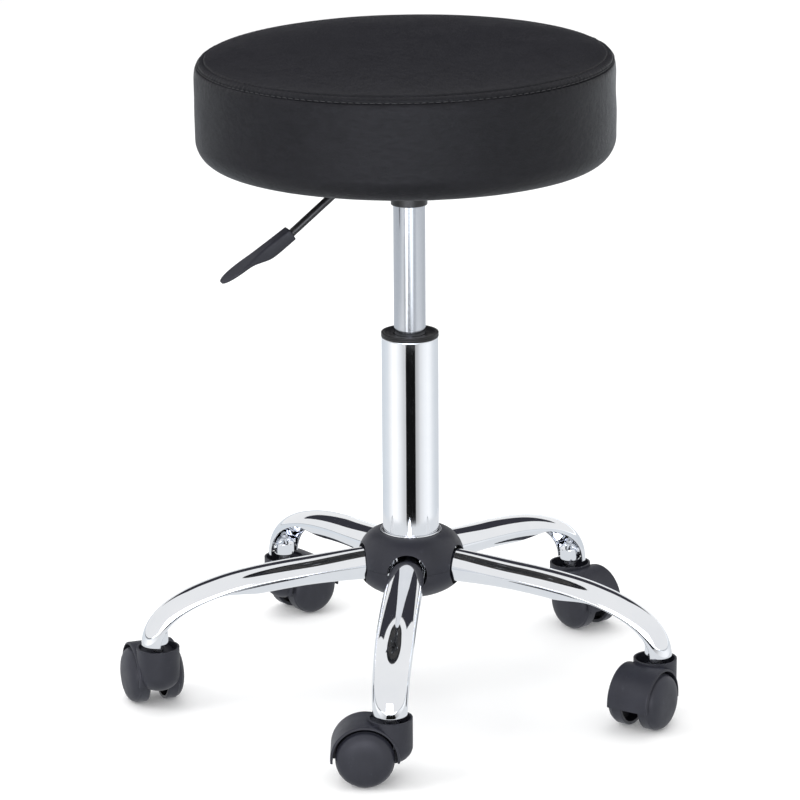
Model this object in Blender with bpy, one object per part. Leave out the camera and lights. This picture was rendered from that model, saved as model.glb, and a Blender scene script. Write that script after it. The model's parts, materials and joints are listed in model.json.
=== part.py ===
"""Rolling stylist stool: a round padded seat on a gas lift, five chromed tube legs, twin-wheel casters.

Metres, +Z up. The origin is on the floor under the middle of the whole stool's outline. The column
stands a few millimetres off it, because the casters point different ways.
"""

import math

import bmesh
import bpy
from mathutils import Matrix, Vector

GAP = 0.0003  # air between pieces that touch
TURN = 2 * math.pi
COLUMN_AXIS = (-0.0067, -0.0062)  # where the column stands on the floor

# Seat: a black-stained plywood board, a foam pad and a vinyl cover pulled round both
SEAT_RADIUS = 0.1815
SEAT_TOP = 0.585
SEAT_BOTTOM = 0.483
SEAT_FLAT_RADIUS = 0.060
SEAM_RADIUS = 0.174
SEAM_HEIGHT = 0.575
SEAT_EDGE_DROP = 0.012
SEAT_CORNER = 0.025
COVER_WALL = 0.002
COVER_HEM_RADIUS = 0.140
BOARD_RADIUS = 0.157
BOARD_BOTTOM = 0.4853
BOARD_THICKNESS = 0.012

# Seat plate: a square flange with a pressed pan that holds the lever
PLATE_SIDE = 0.150
PLATE_TOP = BOARD_BOTTOM - GAP
PLATE_THICKNESS = 0.0025
PAN_BOTTOM = 0.459
PAN_WALL = 0.002
PAN_REACH = 0.044
PAN_BACK = 0.032
PAN_HALF_WIDTH = 0.026
BOLT_SPACING = 0.120
BOLT_RADIUS = 0.003

# Lever
LEVER_TURN_DEG = 237.0
LEVER_HEIGHT = 0.470
LEVER_ROD_RADIUS = 0.0035
LEVER_PIVOT_REACH = 0.024
LEVER_BEND_REACH = 0.0533
LEVER_SLOPE_DEG = 38.6
PIVOT_PIN_RADIUS = 0.0015
PADDLE_START = 0.0650
PADDLE_GRIP = 0.0160
PADDLE_SLOPE_DEG = 33.5

# Gas lift
COLUMN_RADIUS = 0.025
COLUMN_WALL = 0.0016
COLUMN_BOTTOM = 0.0945
COLUMN_TOP = 0.324
PISTON_RADIUS = 0.014
RECEIVER_RADIUS = 0.016
RECEIVER_BOTTOM = 0.4425
CYLINDER_BOTTOM = 0.235
CYLINDER_TOP = 0.460
ROD_RADIUS = 0.005
RELEASE_PIN_RADIUS = 0.003

# Base: a hub tube, its two-piece cover and the legs
HUB_RADIUS = 0.027
HUB_TOP = 0.1475
HUB_BOTTOM = 0.0945
COVER_RADIUS = 0.048
COVER_TOP = 0.1462
COVER_SHOULDER = 0.121
COVER_SPLIT = 0.118
COVER_HEEL = 0.112
COVER_BOTTOM = 0.087
HUB_COVER_WALL = 0.002
LEG_HOLE_RADIUS = 0.0175
LEG_COUNT = 5
FIRST_LEG_DEG = -57.55
LEG_START = HUB_RADIUS + GAP
LEG_WALL = 0.0015
LEG_SHOULDER = Vector((0.150, 0.1092))
LEG_END = Vector((0.230, 0.0588))
STEM_CIRCLE = LEG_END.x

# Casters: a hood with a cup in front, and two domed wheels
WHEEL_RADIUS = 0.025
WHEEL_INNER = 0.0082
WHEEL_TREAD_END = 0.018
WHEEL_OUTER = 0.0262
WHEEL_SIDES = 20
TRAIL = 0.021
HOOD_RADIUS = 0.0293
HOOD_HALF_WIDTH = 0.0198
HOOD_LIP = 0.022
WELL_RADIUS = 0.0273
WEB_HALF_WIDTH = 0.0074
CUP_RADIUS = 0.019
CUP_TOP = 0.056
CUP_BOTTOM = 0.016
CUP_ROUND = 0.015
CUP_WALL = 0.0018
STEM_RADIUS = 0.0055
AXLE_RADIUS = 0.003
SOCKET_RADIUS = 0.0093
CASTER_HEADINGS_DEG = (217.0, -86.0, -13.0, 77.0, 147.0)


def clear_scene():
    for item in list(bpy.data.objects):
        bpy.data.objects.remove(item)


def material(name, colour, roughness, metallic=0.0):
    found = bpy.data.materials.get(name)
    if found:
        return found
    made = bpy.data.materials.new(name)
    made.use_nodes = True
    shader = made.node_tree.nodes["Principled BSDF"]
    shader.inputs["Base Color"].default_value = (*colour, 1.0)
    shader.inputs["Roughness"].default_value = roughness
    shader.inputs["Metallic"].default_value = metallic
    return made


def vinyl():
    return material("black_vinyl", (0.026, 0.028, 0.031), 0.42)


def foam():
    return material("foam", (0.75, 0.66, 0.42), 0.95)


def plywood():
    return material("plywood", (0.035, 0.033, 0.032), 0.6)


def chrome():
    return material("chrome", (0.88, 0.89, 0.91), 0.05, 1.0)


def zinc():
    return material("zinc_plate", (0.68, 0.70, 0.74), 0.28, 1.0)


def dark_plastic():
    return material("dark_grey_plastic", (0.045, 0.046, 0.056), 0.5)


def black_plastic():
    return material("black_plastic", (0.015, 0.015, 0.017), 0.4)


def black_steel():
    return material("black_painted_steel", (0.012, 0.012, 0.014), 0.35)


def rubber():
    return material("rubber", (0.02, 0.02, 0.02), 0.8)


def add_object(name, mesh, look, matrix=None, parent=None):
    """Puts a mesh in the scene as one named piece, with smooth round faces and sharp edges."""
    if not mesh.materials:
        mesh.materials.append(look)
    mesh.shade_smooth()
    mesh.set_sharp_from_angle(angle=math.radians(35))
    item = bpy.data.objects.new(name, mesh)
    bpy.context.scene.collection.objects.link(item)
    item.parent = parent
    item.matrix_local = matrix or Matrix.Identity(4)
    return item


def add_empty(name, matrix):
    item = bpy.data.objects.new(name, None)
    bpy.context.scene.collection.objects.link(item)
    item.matrix_local = matrix
    return item


def turned_mesh(name, outline, sides):
    """Spins a closed outline of (radius, height) points round Z. Points on the axis close the shape."""
    work = bmesh.new()
    corners = [work.verts.new((radius, 0.0, height)) for radius, height in outline]
    edges = []
    for start, end in zip(corners, corners[1:] + corners[:1]):
        if start.co.x > 0 or end.co.x > 0:
            edges.append(work.edges.new((start, end)))
    bmesh.ops.spin(
        work,
        geom=corners + edges,
        cent=(0, 0, 0),
        axis=(0, 0, 1),
        angle=TURN,
        steps=sides,
        use_merge=True,
    )
    bmesh.ops.remove_doubles(work, verts=work.verts, dist=1e-7)
    bmesh.ops.recalc_face_normals(work, faces=work.faces)
    mesh = bpy.data.meshes.new(name)
    work.to_mesh(mesh)
    work.free()
    return mesh


def box_mesh(name, low, high):
    work = bmesh.new()
    bmesh.ops.create_cube(work, size=1.0)
    size = Vector(high) - Vector(low)
    middle = (Vector(high) + Vector(low)) / 2
    bmesh.ops.scale(work, vec=size, verts=work.verts)
    bmesh.ops.translate(work, vec=middle, verts=work.verts)
    mesh = bpy.data.meshes.new(name)
    work.to_mesh(mesh)
    work.free()
    return mesh


def rod_mesh(name, radius, low, high, sides):
    return turned_mesh(name, [(0, high), (radius, high), (radius, low), (0, low)], sides)


def helper(mesh, matrix=None):
    """A cutter or a joined-on shape: it shapes another piece and isn't one itself."""
    item = bpy.data.objects.new(mesh.name + "_shape", mesh)
    bpy.context.scene.collection.objects.link(item)
    item.matrix_world = matrix or Matrix.Identity(4)
    item.hide_render = True
    item.display_type = "WIRE"
    return item


def combine(name, base, steps):
    """The base mesh after a run of Booleans, given as (operation, helper object) pairs."""
    work = helper(base)
    for operation, other in steps:
        cut = work.modifiers.new(other.name, "BOOLEAN")
        cut.operation = operation
        cut.solver = "EXACT"
        cut.object = other
    bpy.context.view_layer.update()
    graph = bpy.context.evaluated_depsgraph_get()
    mesh = bpy.data.meshes.new_from_object(work.evaluated_get(graph))
    mesh.name = name
    bpy.data.objects.remove(work)
    for _, other in steps:
        bpy.data.objects.remove(other)
    return mesh


def turn_z(degrees):
    return Matrix.Rotation(math.radians(degrees), 4, "Z")


def along_y():
    """Turns a shape made along Z so that it lies along Y."""
    return Matrix.Rotation(-math.pi / 2, 4, "X")


def along_x():
    """Turns a shape made along Z so that it lies along X."""
    return Matrix.Rotation(math.pi / 2, 4, "Y")


def ellipse_points(centre, radii, start_deg, end_deg, count):
    """Points on an ellipse in the (radius, height) plane, both ends included."""
    points = []
    for index in range(count):
        angle = math.radians(start_deg + (end_deg - start_deg) * index / (count - 1))
        points.append((centre[0] + radii[0] * math.cos(angle), centre[1] + radii[1] * math.sin(angle)))
    return points


# ---------------------------------------------------------------- seat


def seat_outline(inset):
    """The upholstery's outside from the middle of its top to its bottom edge, moved in by inset."""
    top = SEAT_TOP - inset
    seam_top = SEAM_HEIGHT - inset
    crown_radius = (SEAT_FLAT_RADIUS + SEAM_RADIUS) / 2
    crown_top = top - (top - seam_top) * 0.27
    edge = ellipse_points(
        (SEAM_RADIUS - inset, seam_top - SEAT_EDGE_DROP),
        (SEAT_RADIUS - SEAM_RADIUS, SEAT_EDGE_DROP),
        90,
        0,
        3,
    )
    corner = ellipse_points(
        (SEAT_RADIUS - SEAT_CORNER, SEAT_BOTTOM + SEAT_CORNER),
        (SEAT_CORNER - inset, SEAT_CORNER - inset),
        0,
        -90,
        4,
    )
    return [(0, top), (SEAT_FLAT_RADIUS, top), (crown_radius, crown_top)] + edge + corner


def make_seat():
    cover = seat_outline(0) + [(COVER_HEM_RADIUS, SEAT_BOTTOM)]
    lining = [(COVER_HEM_RADIUS, SEAT_BOTTOM + COVER_WALL)] + seat_outline(COVER_WALL)[::-1]
    add_object("seat_cover", turned_mesh("seat_cover", cover + lining, 40), vinyl())

    board_top = BOARD_BOTTOM + BOARD_THICKNESS
    board = [(0, board_top), (BOARD_RADIUS, board_top), (BOARD_RADIUS, BOARD_BOTTOM), (0, BOARD_BOTTOM)]
    add_object("seat_board", turned_mesh("seat_board", board, 40), plywood())

    inside = seat_outline(COVER_WALL + GAP)
    foam_bottom = board_top + GAP
    pad = [point for point in inside if point[1] > foam_bottom + 0.001]
    pad.append((pad[-1][0] - 0.004, foam_bottom))
    pad.append((0, foam_bottom))
    add_object("seat_foam", turned_mesh("seat_foam", pad, 40), foam())


def make_seat_plate(lever_turn):
    """The flange and its pan, with holes for the bolts, the receiver, the lever and its pin."""
    half = PLATE_SIDE / 2
    flange_bottom = PLATE_TOP - PLATE_THICKNESS
    flange = box_mesh("flange", (-half, -half, flange_bottom), (half, half, PLATE_TOP))
    pan = box_mesh(
        "pan",
        (-PAN_BACK, -PAN_HALF_WIDTH, PAN_BOTTOM),
        (PAN_REACH, PAN_HALF_WIDTH, flange_bottom + PLATE_THICKNESS / 2),
    )
    hollow = box_mesh(
        "hollow",
        (PAN_WALL - PAN_BACK, PAN_WALL - PAN_HALF_WIDTH, PAN_BOTTOM + PAN_WALL),
        (PAN_REACH - PAN_WALL, PAN_HALF_WIDTH - PAN_WALL, PLATE_TOP + 0.01),
    )
    slot_low = (PAN_REACH - 2 * PAN_WALL, -0.0046, LEVER_HEIGHT - 0.0055)
    slot_high = (PAN_REACH + PAN_WALL, 0.0046, LEVER_HEIGHT + 0.0075)
    steps = [
        ("UNION", helper(pan)),
        ("DIFFERENCE", helper(hollow)),
        ("DIFFERENCE", helper(box_mesh("slot", slot_low, slot_high))),
        ("DIFFERENCE", helper(rod_mesh("receiver_hole", RECEIVER_RADIUS + GAP, 0.45, 0.47, 32))),
        ("DIFFERENCE", helper(*pivot_cutter(PAN_HALF_WIDTH + 0.01))),
    ]
    for x, y in bolt_places():
        hole = rod_mesh("bolt_hole", BOLT_RADIUS + GAP, flange_bottom - 0.01, PLATE_TOP + 0.01, 12)
        steps.append(("DIFFERENCE", helper(hole, Matrix.Translation((x, y, 0)))))
    mesh = combine("seat_plate", flange, steps)
    add_object("seat_plate", mesh, black_steel(), lever_turn)


def pivot_cutter(half_length):
    mesh = rod_mesh("pivot_hole", PIVOT_PIN_RADIUS + GAP, -half_length, half_length, 12)
    return mesh, Matrix.Translation((LEVER_PIVOT_REACH, 0, LEVER_HEIGHT)) @ along_y()


def bolt_places():
    half = BOLT_SPACING / 2
    return [(half, half), (-half, half), (-half, -half), (half, -half)]


def make_bolts(lever_turn):
    """Each bolt goes up through the flange into the board; its hexagon head is underneath."""
    head_top = PLATE_TOP - PLATE_THICKNESS - GAP
    for index, (x, y) in enumerate(bolt_places(), 1):
        shank = rod_mesh("shank", BOLT_RADIUS, head_top - 0.002, PLATE_TOP + GAP / 2, 12)
        head = rod_mesh("head", 0.0058, head_top - 0.004, head_top, 6)
        mesh = combine("bolt", head, [("UNION", helper(shank))])
        place = lever_turn @ Matrix.Translation((x, y, 0))
        add_object(f"seat_bolt_{index}", mesh, zinc(), place)


def make_receiver():
    """The tapered tube under the pan that the gas cylinder's nose wedges into."""
    outline = [
        (RECEIVER_RADIUS, PAN_BOTTOM + PAN_WALL + 0.0015),
        (RECEIVER_RADIUS, RECEIVER_BOTTOM + 0.0008),
        (RECEIVER_RADIUS - 0.0006, RECEIVER_BOTTOM),
        (PISTON_RADIUS + GAP, RECEIVER_BOTTOM),
        (PISTON_RADIUS - 0.0008 + GAP, CYLINDER_TOP),
        (PISTON_RADIUS - 0.0008 + GAP, PAN_BOTTOM + PAN_WALL + 0.0015),
    ]
    add_object("gas_receiver", turned_mesh("gas_receiver", outline, 24), black_steel())


# ---------------------------------------------------------------- lever


def lever_path():
    """The rod's centre line: level through the pan, a round bend, then down to the paddle."""
    slope = math.radians(LEVER_SLOPE_DEG)
    bend_radius = 0.012
    bend_start = LEVER_BEND_REACH - bend_radius * math.tan(slope / 2)
    centre = Vector((bend_start, 0, LEVER_HEIGHT - bend_radius))
    points = [Vector((-0.005, 0, LEVER_HEIGHT))]
    for step in range(7):
        angle = slope * step / 6
        points.append(centre + bend_radius * Vector((math.sin(angle), 0, math.cos(angle))))
    along = Vector((math.cos(slope), 0, -math.sin(slope)))
    points.append(points[-1] + along * (PADDLE_START + PADDLE_GRIP))
    return points, along


def tube_mesh(name, points, radius, sides):
    """A round bar along points in the XZ plane, with flat ends."""
    work = bmesh.new()
    rings = []
    for index, point in enumerate(points):
        before = points[max(index - 1, 0)]
        after = points[min(index + 1, len(points) - 1)]
        tangent = (after - before).normalized()
        side = Vector((0, 1, 0))
        up = side.cross(tangent)
        ring = []
        for step in range(sides):
            angle = TURN * step / sides
            ring.append(work.verts.new(point + radius * (math.cos(angle) * side + math.sin(angle) * up)))
        rings.append(ring)
    for first, second in zip(rings, rings[1:]):
        for a in range(sides):
            b = (a + 1) % sides
            work.faces.new((first[a], first[b], second[b], second[a]))
    work.faces.new(rings[0])
    work.faces.new(rings[-1])
    bmesh.ops.recalc_face_normals(work, faces=work.faces)
    mesh = bpy.data.meshes.new(name)
    work.to_mesh(mesh)
    work.free()
    return mesh


def make_lever(lever_turn):
    points, along = lever_path()
    rod = tube_mesh("rod", points, LEVER_ROD_RADIUS, 12)
    rod = combine("lever_rod", rod, [("DIFFERENCE", helper(*pivot_cutter(0.01)))])
    add_object("lever_rod", rod, black_steel(), lever_turn)

    pin = rod_mesh("lever_pivot_pin", PIVOT_PIN_RADIUS, -PAN_HALF_WIDTH - 0.001, PAN_HALF_WIDTH + 0.001, 12)
    pivot = Matrix.Translation((LEVER_PIVOT_REACH, 0, LEVER_HEIGHT))
    add_object("lever_pivot_pin", pin, zinc(), lever_turn @ pivot @ along_y())

    make_paddle(lever_turn, points[-1] - along * PADDLE_GRIP)


def make_paddle(lever_turn, mouth):
    """A socket block on the rod that thins into a wide, round-tipped blade, a little less steep."""
    sections = [
        (0.0000, 0.0070, 0.0065, 0.0052),
        (0.0240, 0.0072, 0.0065, 0.0064),
        (0.0370, 0.0084, 0.0063, 0.0026),
        (0.0450, 0.0100, 0.0061, -0.0008),
        (0.0560, 0.0110, 0.0059, -0.0014),
        (0.0650, 0.0098, 0.0057, -0.0018),
        (0.0710, 0.0066, 0.0054, -0.0022),
        (0.0735, 0.0030, 0.0050, -0.0027),
    ]
    work = bmesh.new()
    rings = []
    for reach, half_width, rise, depth in sections:
        ring = []
        for step in range(16):
            angle = TURN * (step + 0.5) / 16
            x, y = math.cos(angle), math.sin(angle)
            squarer = 1 / max(abs(x), abs(y)) ** 0.6
            middle = (rise - depth) / 2
            half_height = (rise + depth) / 2
            ring.append(work.verts.new((reach, half_width * x * squarer, middle + half_height * y * squarer)))
        rings.append(ring)
    for first, second in zip(rings, rings[1:]):
        bmesh.ops.bridge_loops(work, edges=loop_edges(work, first) + loop_edges(work, second))
    work.faces.new(rings[0])
    work.faces.new(rings[-1])
    bmesh.ops.recalc_face_normals(work, faces=work.faces)
    mesh = bpy.data.meshes.new("paddle")
    work.to_mesh(mesh)
    work.free()
    bore = rod_mesh("rod_bore", LEVER_ROD_RADIUS + GAP, -0.01, PADDLE_GRIP + GAP, 12)
    steeper = Matrix.Rotation(math.radians(LEVER_SLOPE_DEG - PADDLE_SLOPE_DEG), 4, "Y")
    mesh = combine("lever_paddle", mesh, [("DIFFERENCE", helper(bore, steeper @ along_x()))])
    place = Matrix.Translation(mouth) @ Matrix.Rotation(math.radians(PADDLE_SLOPE_DEG), 4, "Y")
    add_object("lever_paddle", mesh, dark_plastic(), lever_turn @ place)


def loop_edges(work, ring):
    """The edges of a closed ring of vertices, made where they don't exist yet."""
    edges = []
    for start, end in zip(ring, ring[1:] + ring[:1]):
        edges.append(work.edges.get((start, end)) or work.edges.new((start, end)))
    return edges


# ---------------------------------------------------------------- gas lift


def make_gas_lift():
    bore = COLUMN_RADIUS - COLUMN_WALL
    column = [
        (COLUMN_RADIUS, COLUMN_TOP),
        (COLUMN_RADIUS, COLUMN_BOTTOM),
        (ROD_RADIUS + 0.0005, COLUMN_BOTTOM),
        (ROD_RADIUS + 0.0005, COLUMN_BOTTOM + 0.003),
        (bore, COLUMN_BOTTOM + 0.003),
        (bore, COLUMN_TOP),
    ]
    add_object("outer_column", turned_mesh("outer_column", column, 32), chrome())

    bushing = [
        (bore - GAP, COLUMN_TOP - GAP),
        (bore - GAP, COLUMN_TOP - 0.070),
        (PISTON_RADIUS + GAP, COLUMN_TOP - 0.070),
        (PISTON_RADIUS + GAP, COLUMN_TOP - GAP),
    ]
    add_object("guide_bushing", turned_mesh("guide_bushing", bushing, 24), black_plastic())

    cap_top = COLUMN_TOP + 0.0043
    cap = [
        (COLUMN_RADIUS + 0.0001, cap_top),
        (COLUMN_RADIUS + GAP, cap_top - 0.0006),
        (COLUMN_RADIUS + GAP, COLUMN_TOP + GAP),
        (PISTON_RADIUS + 2 * GAP, COLUMN_TOP + GAP),
        (PISTON_RADIUS + 2 * GAP, cap_top - 0.0012),
        (COLUMN_RADIUS - 0.002, cap_top - 0.0006),
        (COLUMN_RADIUS - 0.0015, cap_top),
    ]
    add_object("column_cap", turned_mesh("column_cap", cap, 32), black_plastic())
    make_gas_cylinder()

    head_low = COLUMN_BOTTOM + 0.1675
    rod = [
        (0, head_low + 0.010),
        (0.0115, head_low + 0.010),
        (0.0115, head_low),
        (ROD_RADIUS, head_low),
        (ROD_RADIUS, COLUMN_BOTTOM - 0.0042),
        (0, COLUMN_BOTTOM - 0.0042),
    ]
    add_object("piston_rod", turned_mesh("piston_rod", rod, 16), zinc())

    seat = COLUMN_BOTTOM + 0.003 + GAP
    rings = (
        ("thrust_bearing", zinc(), 0.016, seat, seat + 0.006),
        ("rubber_bumper", rubber(), 0.013, seat + 0.006 + GAP, seat + 0.021),
        ("retaining_clip", zinc(), 0.009, COLUMN_BOTTOM - 0.0022 - GAP, COLUMN_BOTTOM - GAP),
    )
    for name, look, radius, low, high in rings:
        inner = ROD_RADIUS + GAP
        outline = [(radius, high), (radius, low), (inner, low), (inner, high)]
        add_object(name, turned_mesh(name, outline, 16), look)


def make_gas_cylinder():
    """The inner tube: a chamber open at the rod's seal, and a blind bore for the release pin on top."""
    bore = PISTON_RADIUS - 0.0018
    chamber_top = CYLINDER_TOP - 0.024
    pin_floor = CYLINDER_TOP - 0.015
    pin_bore = RELEASE_PIN_RADIUS + GAP
    cylinder = [
        (0, pin_floor),
        (pin_bore, pin_floor),
        (pin_bore, CYLINDER_TOP),
        (PISTON_RADIUS - 0.0008, CYLINDER_TOP),
        (PISTON_RADIUS, RECEIVER_BOTTOM),
        (PISTON_RADIUS, CYLINDER_BOTTOM + 0.001),
        (PISTON_RADIUS - 0.001, CYLINDER_BOTTOM),
        (ROD_RADIUS + 0.0004, CYLINDER_BOTTOM),
        (ROD_RADIUS + 0.0004, CYLINDER_BOTTOM + 0.008),
        (bore, CYLINDER_BOTTOM + 0.008),
        (bore, chamber_top),
        (0, chamber_top),
    ]
    add_object("gas_cylinder", turned_mesh("gas_cylinder", cylinder, 24), zinc())

    pin_top = LEVER_HEIGHT - LEVER_ROD_RADIUS - GAP
    pin = [
        (0, pin_top),
        (0.0014, pin_top - 0.0002),
        (RELEASE_PIN_RADIUS, pin_top - 0.0012),
        (RELEASE_PIN_RADIUS, pin_floor + 0.0035),
        (0, pin_floor + 0.0035),
    ]
    add_object("release_pin", turned_mesh("release_pin", pin, 16), zinc())


# ---------------------------------------------------------------- base


def make_hub():
    bore = COLUMN_RADIUS + 0.0006
    tube = [(HUB_RADIUS, HUB_TOP), (HUB_RADIUS, HUB_BOTTOM), (bore, HUB_BOTTOM), (bore, HUB_TOP)]
    add_object("base_hub", turned_mesh("base_hub", tube, 32), chrome())

    upper = combine("hub_cover_upper", upper_cover_mesh(), leg_holes())
    add_object("hub_cover_upper", upper, dark_plastic())
    lower = combine("hub_cover_lower", lower_cover_mesh(), leg_holes())
    add_object("hub_cover_lower", lower, dark_plastic())


def upper_cover_mesh():
    """A dome from the column down to the parting line, half way down the legs."""
    opening = HUB_RADIUS + GAP
    rise = COVER_TOP - COVER_SHOULDER
    reach = COVER_RADIUS - opening
    wall = HUB_COVER_WALL
    outside = ellipse_points((opening, COVER_SHOULDER), (reach, rise), 90, 0, 5)
    inside = ellipse_points((opening, COVER_SHOULDER), (reach - wall, rise - wall), 0, 90, 5)
    split = COVER_SPLIT + GAP / 2
    outline = outside + [(COVER_RADIUS, split), (COVER_RADIUS - wall, split)] + inside
    return turned_mesh("upper_cover", outline, 30)


def lower_cover_mesh():
    """A bowl that closes the hub from below, with a drain hole in the middle."""
    wall = HUB_COVER_WALL
    drain = 0.006
    depth = COVER_HEEL - COVER_BOTTOM
    outside = ellipse_points((0, COVER_HEEL), (COVER_RADIUS, depth), 0, -82, 5)
    inside = ellipse_points((0, COVER_HEEL), (COVER_RADIUS - wall, depth - wall), -82, 0, 5)
    rim = [(drain, outside[-1][1]), (drain, inside[0][1])]
    split = COVER_SPLIT - GAP / 2
    outline = [(COVER_RADIUS, split)] + outside + rim + inside + [(COVER_RADIUS - wall, split)]
    return turned_mesh("lower_cover", outline, 30)


def leg_holes():
    steps = []
    for index in range(LEG_COUNT):
        hole = rod_mesh("leg_hole", LEG_HOLE_RADIUS, 0.034, 0.060, 16)
        place = turn_z(leg_heading(index)) @ Matrix.Translation((0, 0, COVER_SPLIT + 0.0005)) @ along_x()
        steps.append(("DIFFERENCE", helper(hole, place)))
    return steps


def leg_heading(index):
    return FIRST_LEG_DEG + index * 360 / LEG_COUNT


def bezier(corners, share):
    a, b, c, d = corners
    rest = 1 - share
    return rest**3 * a + 3 * rest**2 * share * b + 3 * rest * share**2 * c + share**3 * d


def direction(degrees_down):
    angle = math.radians(degrees_down)
    return Vector((math.cos(angle), -math.sin(angle)))


def leg_line(share):
    """The leg's centre line as (reach, height): a long gentle arch, then a bend down to the caster."""
    start = Vector((LEG_START, 0.1191))
    if share < 0.5:
        corners = (
            start,
            start + 0.040 * direction(2),
            LEG_SHOULDER - 0.040 * direction(10),
            LEG_SHOULDER,
        )
        return bezier(corners, share * 2)
    corners = (LEG_SHOULDER, LEG_SHOULDER + 0.045 * direction(10), LEG_END - 0.025 * direction(88), LEG_END)
    return bezier(corners, share * 2 - 1)


def leg_section(share):
    """Half width, half height and how far the tube is open underneath, in degrees from straight down."""
    near = min(share / 0.30, 1.0)
    far = max((share - 0.62) / 0.38, 0.0)
    half_width = 0.0150 + 0.0020 * near - 0.0022 * far
    half_height = 0.0148 - 0.0025 * near + 0.0024 * far
    opening = 4.0 + 86.0 * min(max((share - 0.34) / 0.28, 0.0), 1.0)
    return half_width, half_height, opening


def leg_mesh(stations=11, arc_points=10):
    """An open-seamed steel tube whose underside opens out into a half shell over the caster."""
    work = bmesh.new()
    rings = []
    for station in range(stations):
        share = 1 - (1 - station / (stations - 1)) ** 1.25
        place = leg_line(share)
        ahead = leg_line(min(share + 0.01, 1.0)) - leg_line(max(share - 0.01, 0.0))
        up = Vector((-ahead.y, ahead.x)).normalized()
        if station == 0:
            up = Vector((0.0, 1.0))
        if station == stations - 1:
            up = Vector((1.0, 0.0))
        half_width, half_height, opening = leg_section(share)
        spread = math.radians(180 - opening)
        ring = []
        for wall, order in ((0.0, range(arc_points)), (LEG_WALL, reversed(range(arc_points)))):
            for step in order:
                angle = spread * (2 * step / (arc_points - 1) - 1)
                side = (half_width - wall) * math.sin(angle)
                rise = (half_height - wall) * math.cos(angle)
                point = place + rise * up
                ring.append(work.verts.new((point.x, side, point.y)))
        rings.append(ring)
    for first, second in zip(rings, rings[1:]):
        bmesh.ops.bridge_loops(work, edges=loop_edges(work, first) + loop_edges(work, second))
    close_leg_end(work, rings[0], arc_points)
    close_leg_end(work, rings[-1], arc_points)
    bmesh.ops.recalc_face_normals(work, faces=work.faces)
    mesh = bpy.data.meshes.new("leg")
    work.to_mesh(mesh)
    work.free()
    return mesh


def close_leg_end(work, ring, arc_points):
    outer = ring[:arc_points]
    inner = ring[arc_points:][::-1]
    for a in range(arc_points - 1):
        work.faces.new((outer[a], outer[a + 1], inner[a + 1], inner[a]))


def make_legs():
    """Each leg has its own socket, a short sleeve with two lugs that hold it to the leg's sides."""
    leg = leg_mesh()
    socket_outline = [
        (0.0040, 0.0752),
        (0.0062, 0.0742),
        (SOCKET_RADIUS, 0.0700),
        (SOCKET_RADIUS, LEG_END.y),
        (STEM_RADIUS + GAP, LEG_END.y),
        (STEM_RADIUS + GAP, 0.0720),
        (0.0040, 0.0740),
    ]
    sleeve = turned_mesh("sleeve", socket_outline, 16)
    lug_reach = 0.0118
    lugs = []
    for side in (-1, 1):
        low = (-0.001, min(side * 0.008, side * lug_reach), 0.0660)
        high = (0.001, max(side * 0.008, side * lug_reach), 0.0715)
        lugs.append(("UNION", helper(box_mesh("lug", low, high))))
    socket = combine("socket", sleeve, lugs)
    for index in range(LEG_COUNT):
        spoke = turn_z(leg_heading(index))
        add_object(f"leg_{index + 1}", leg, chrome(), spoke)
        place = spoke @ Matrix.Translation((STEM_CIRCLE, 0, 0))
        add_object(f"caster_socket_{index + 1}", socket, chrome(), place)


# ---------------------------------------------------------------- casters


def wheel_mesh():
    """One domed wheel on +Y, open towards the middle, with a flat of its rim on the floor."""
    rim = WHEEL_RADIUS / math.cos(math.pi / WHEEL_SIDES)
    bore = AXLE_RADIUS + GAP
    outline = [
        (0, WHEEL_OUTER),
        (0.0110, WHEEL_OUTER - 0.0005),
        (0.0180, WHEEL_OUTER - 0.0018),
        (0.0226, WHEEL_OUTER - 0.0041),
        (rim, WHEEL_TREAD_END),
        (rim, WHEEL_INNER),
        (rim - 0.0025, WHEEL_INNER),
        (rim - 0.0030, WHEEL_TREAD_END - 0.0010),
        (0.0175, WHEEL_OUTER - 0.0048),
        (0.0062, WHEEL_OUTER - 0.0032),
        (0.0062, WHEEL_INNER),
        (bore, WHEEL_INNER),
        (bore, WHEEL_OUTER - 0.0040),
        (0, WHEEL_OUTER - 0.0040),
    ]
    mesh = turned_mesh("wheel", outline, WHEEL_SIDES)
    half_step = Matrix.Rotation(math.pi / WHEEL_SIDES, 4, "Z")
    mesh.transform(along_y() @ half_step)
    return mesh


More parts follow.
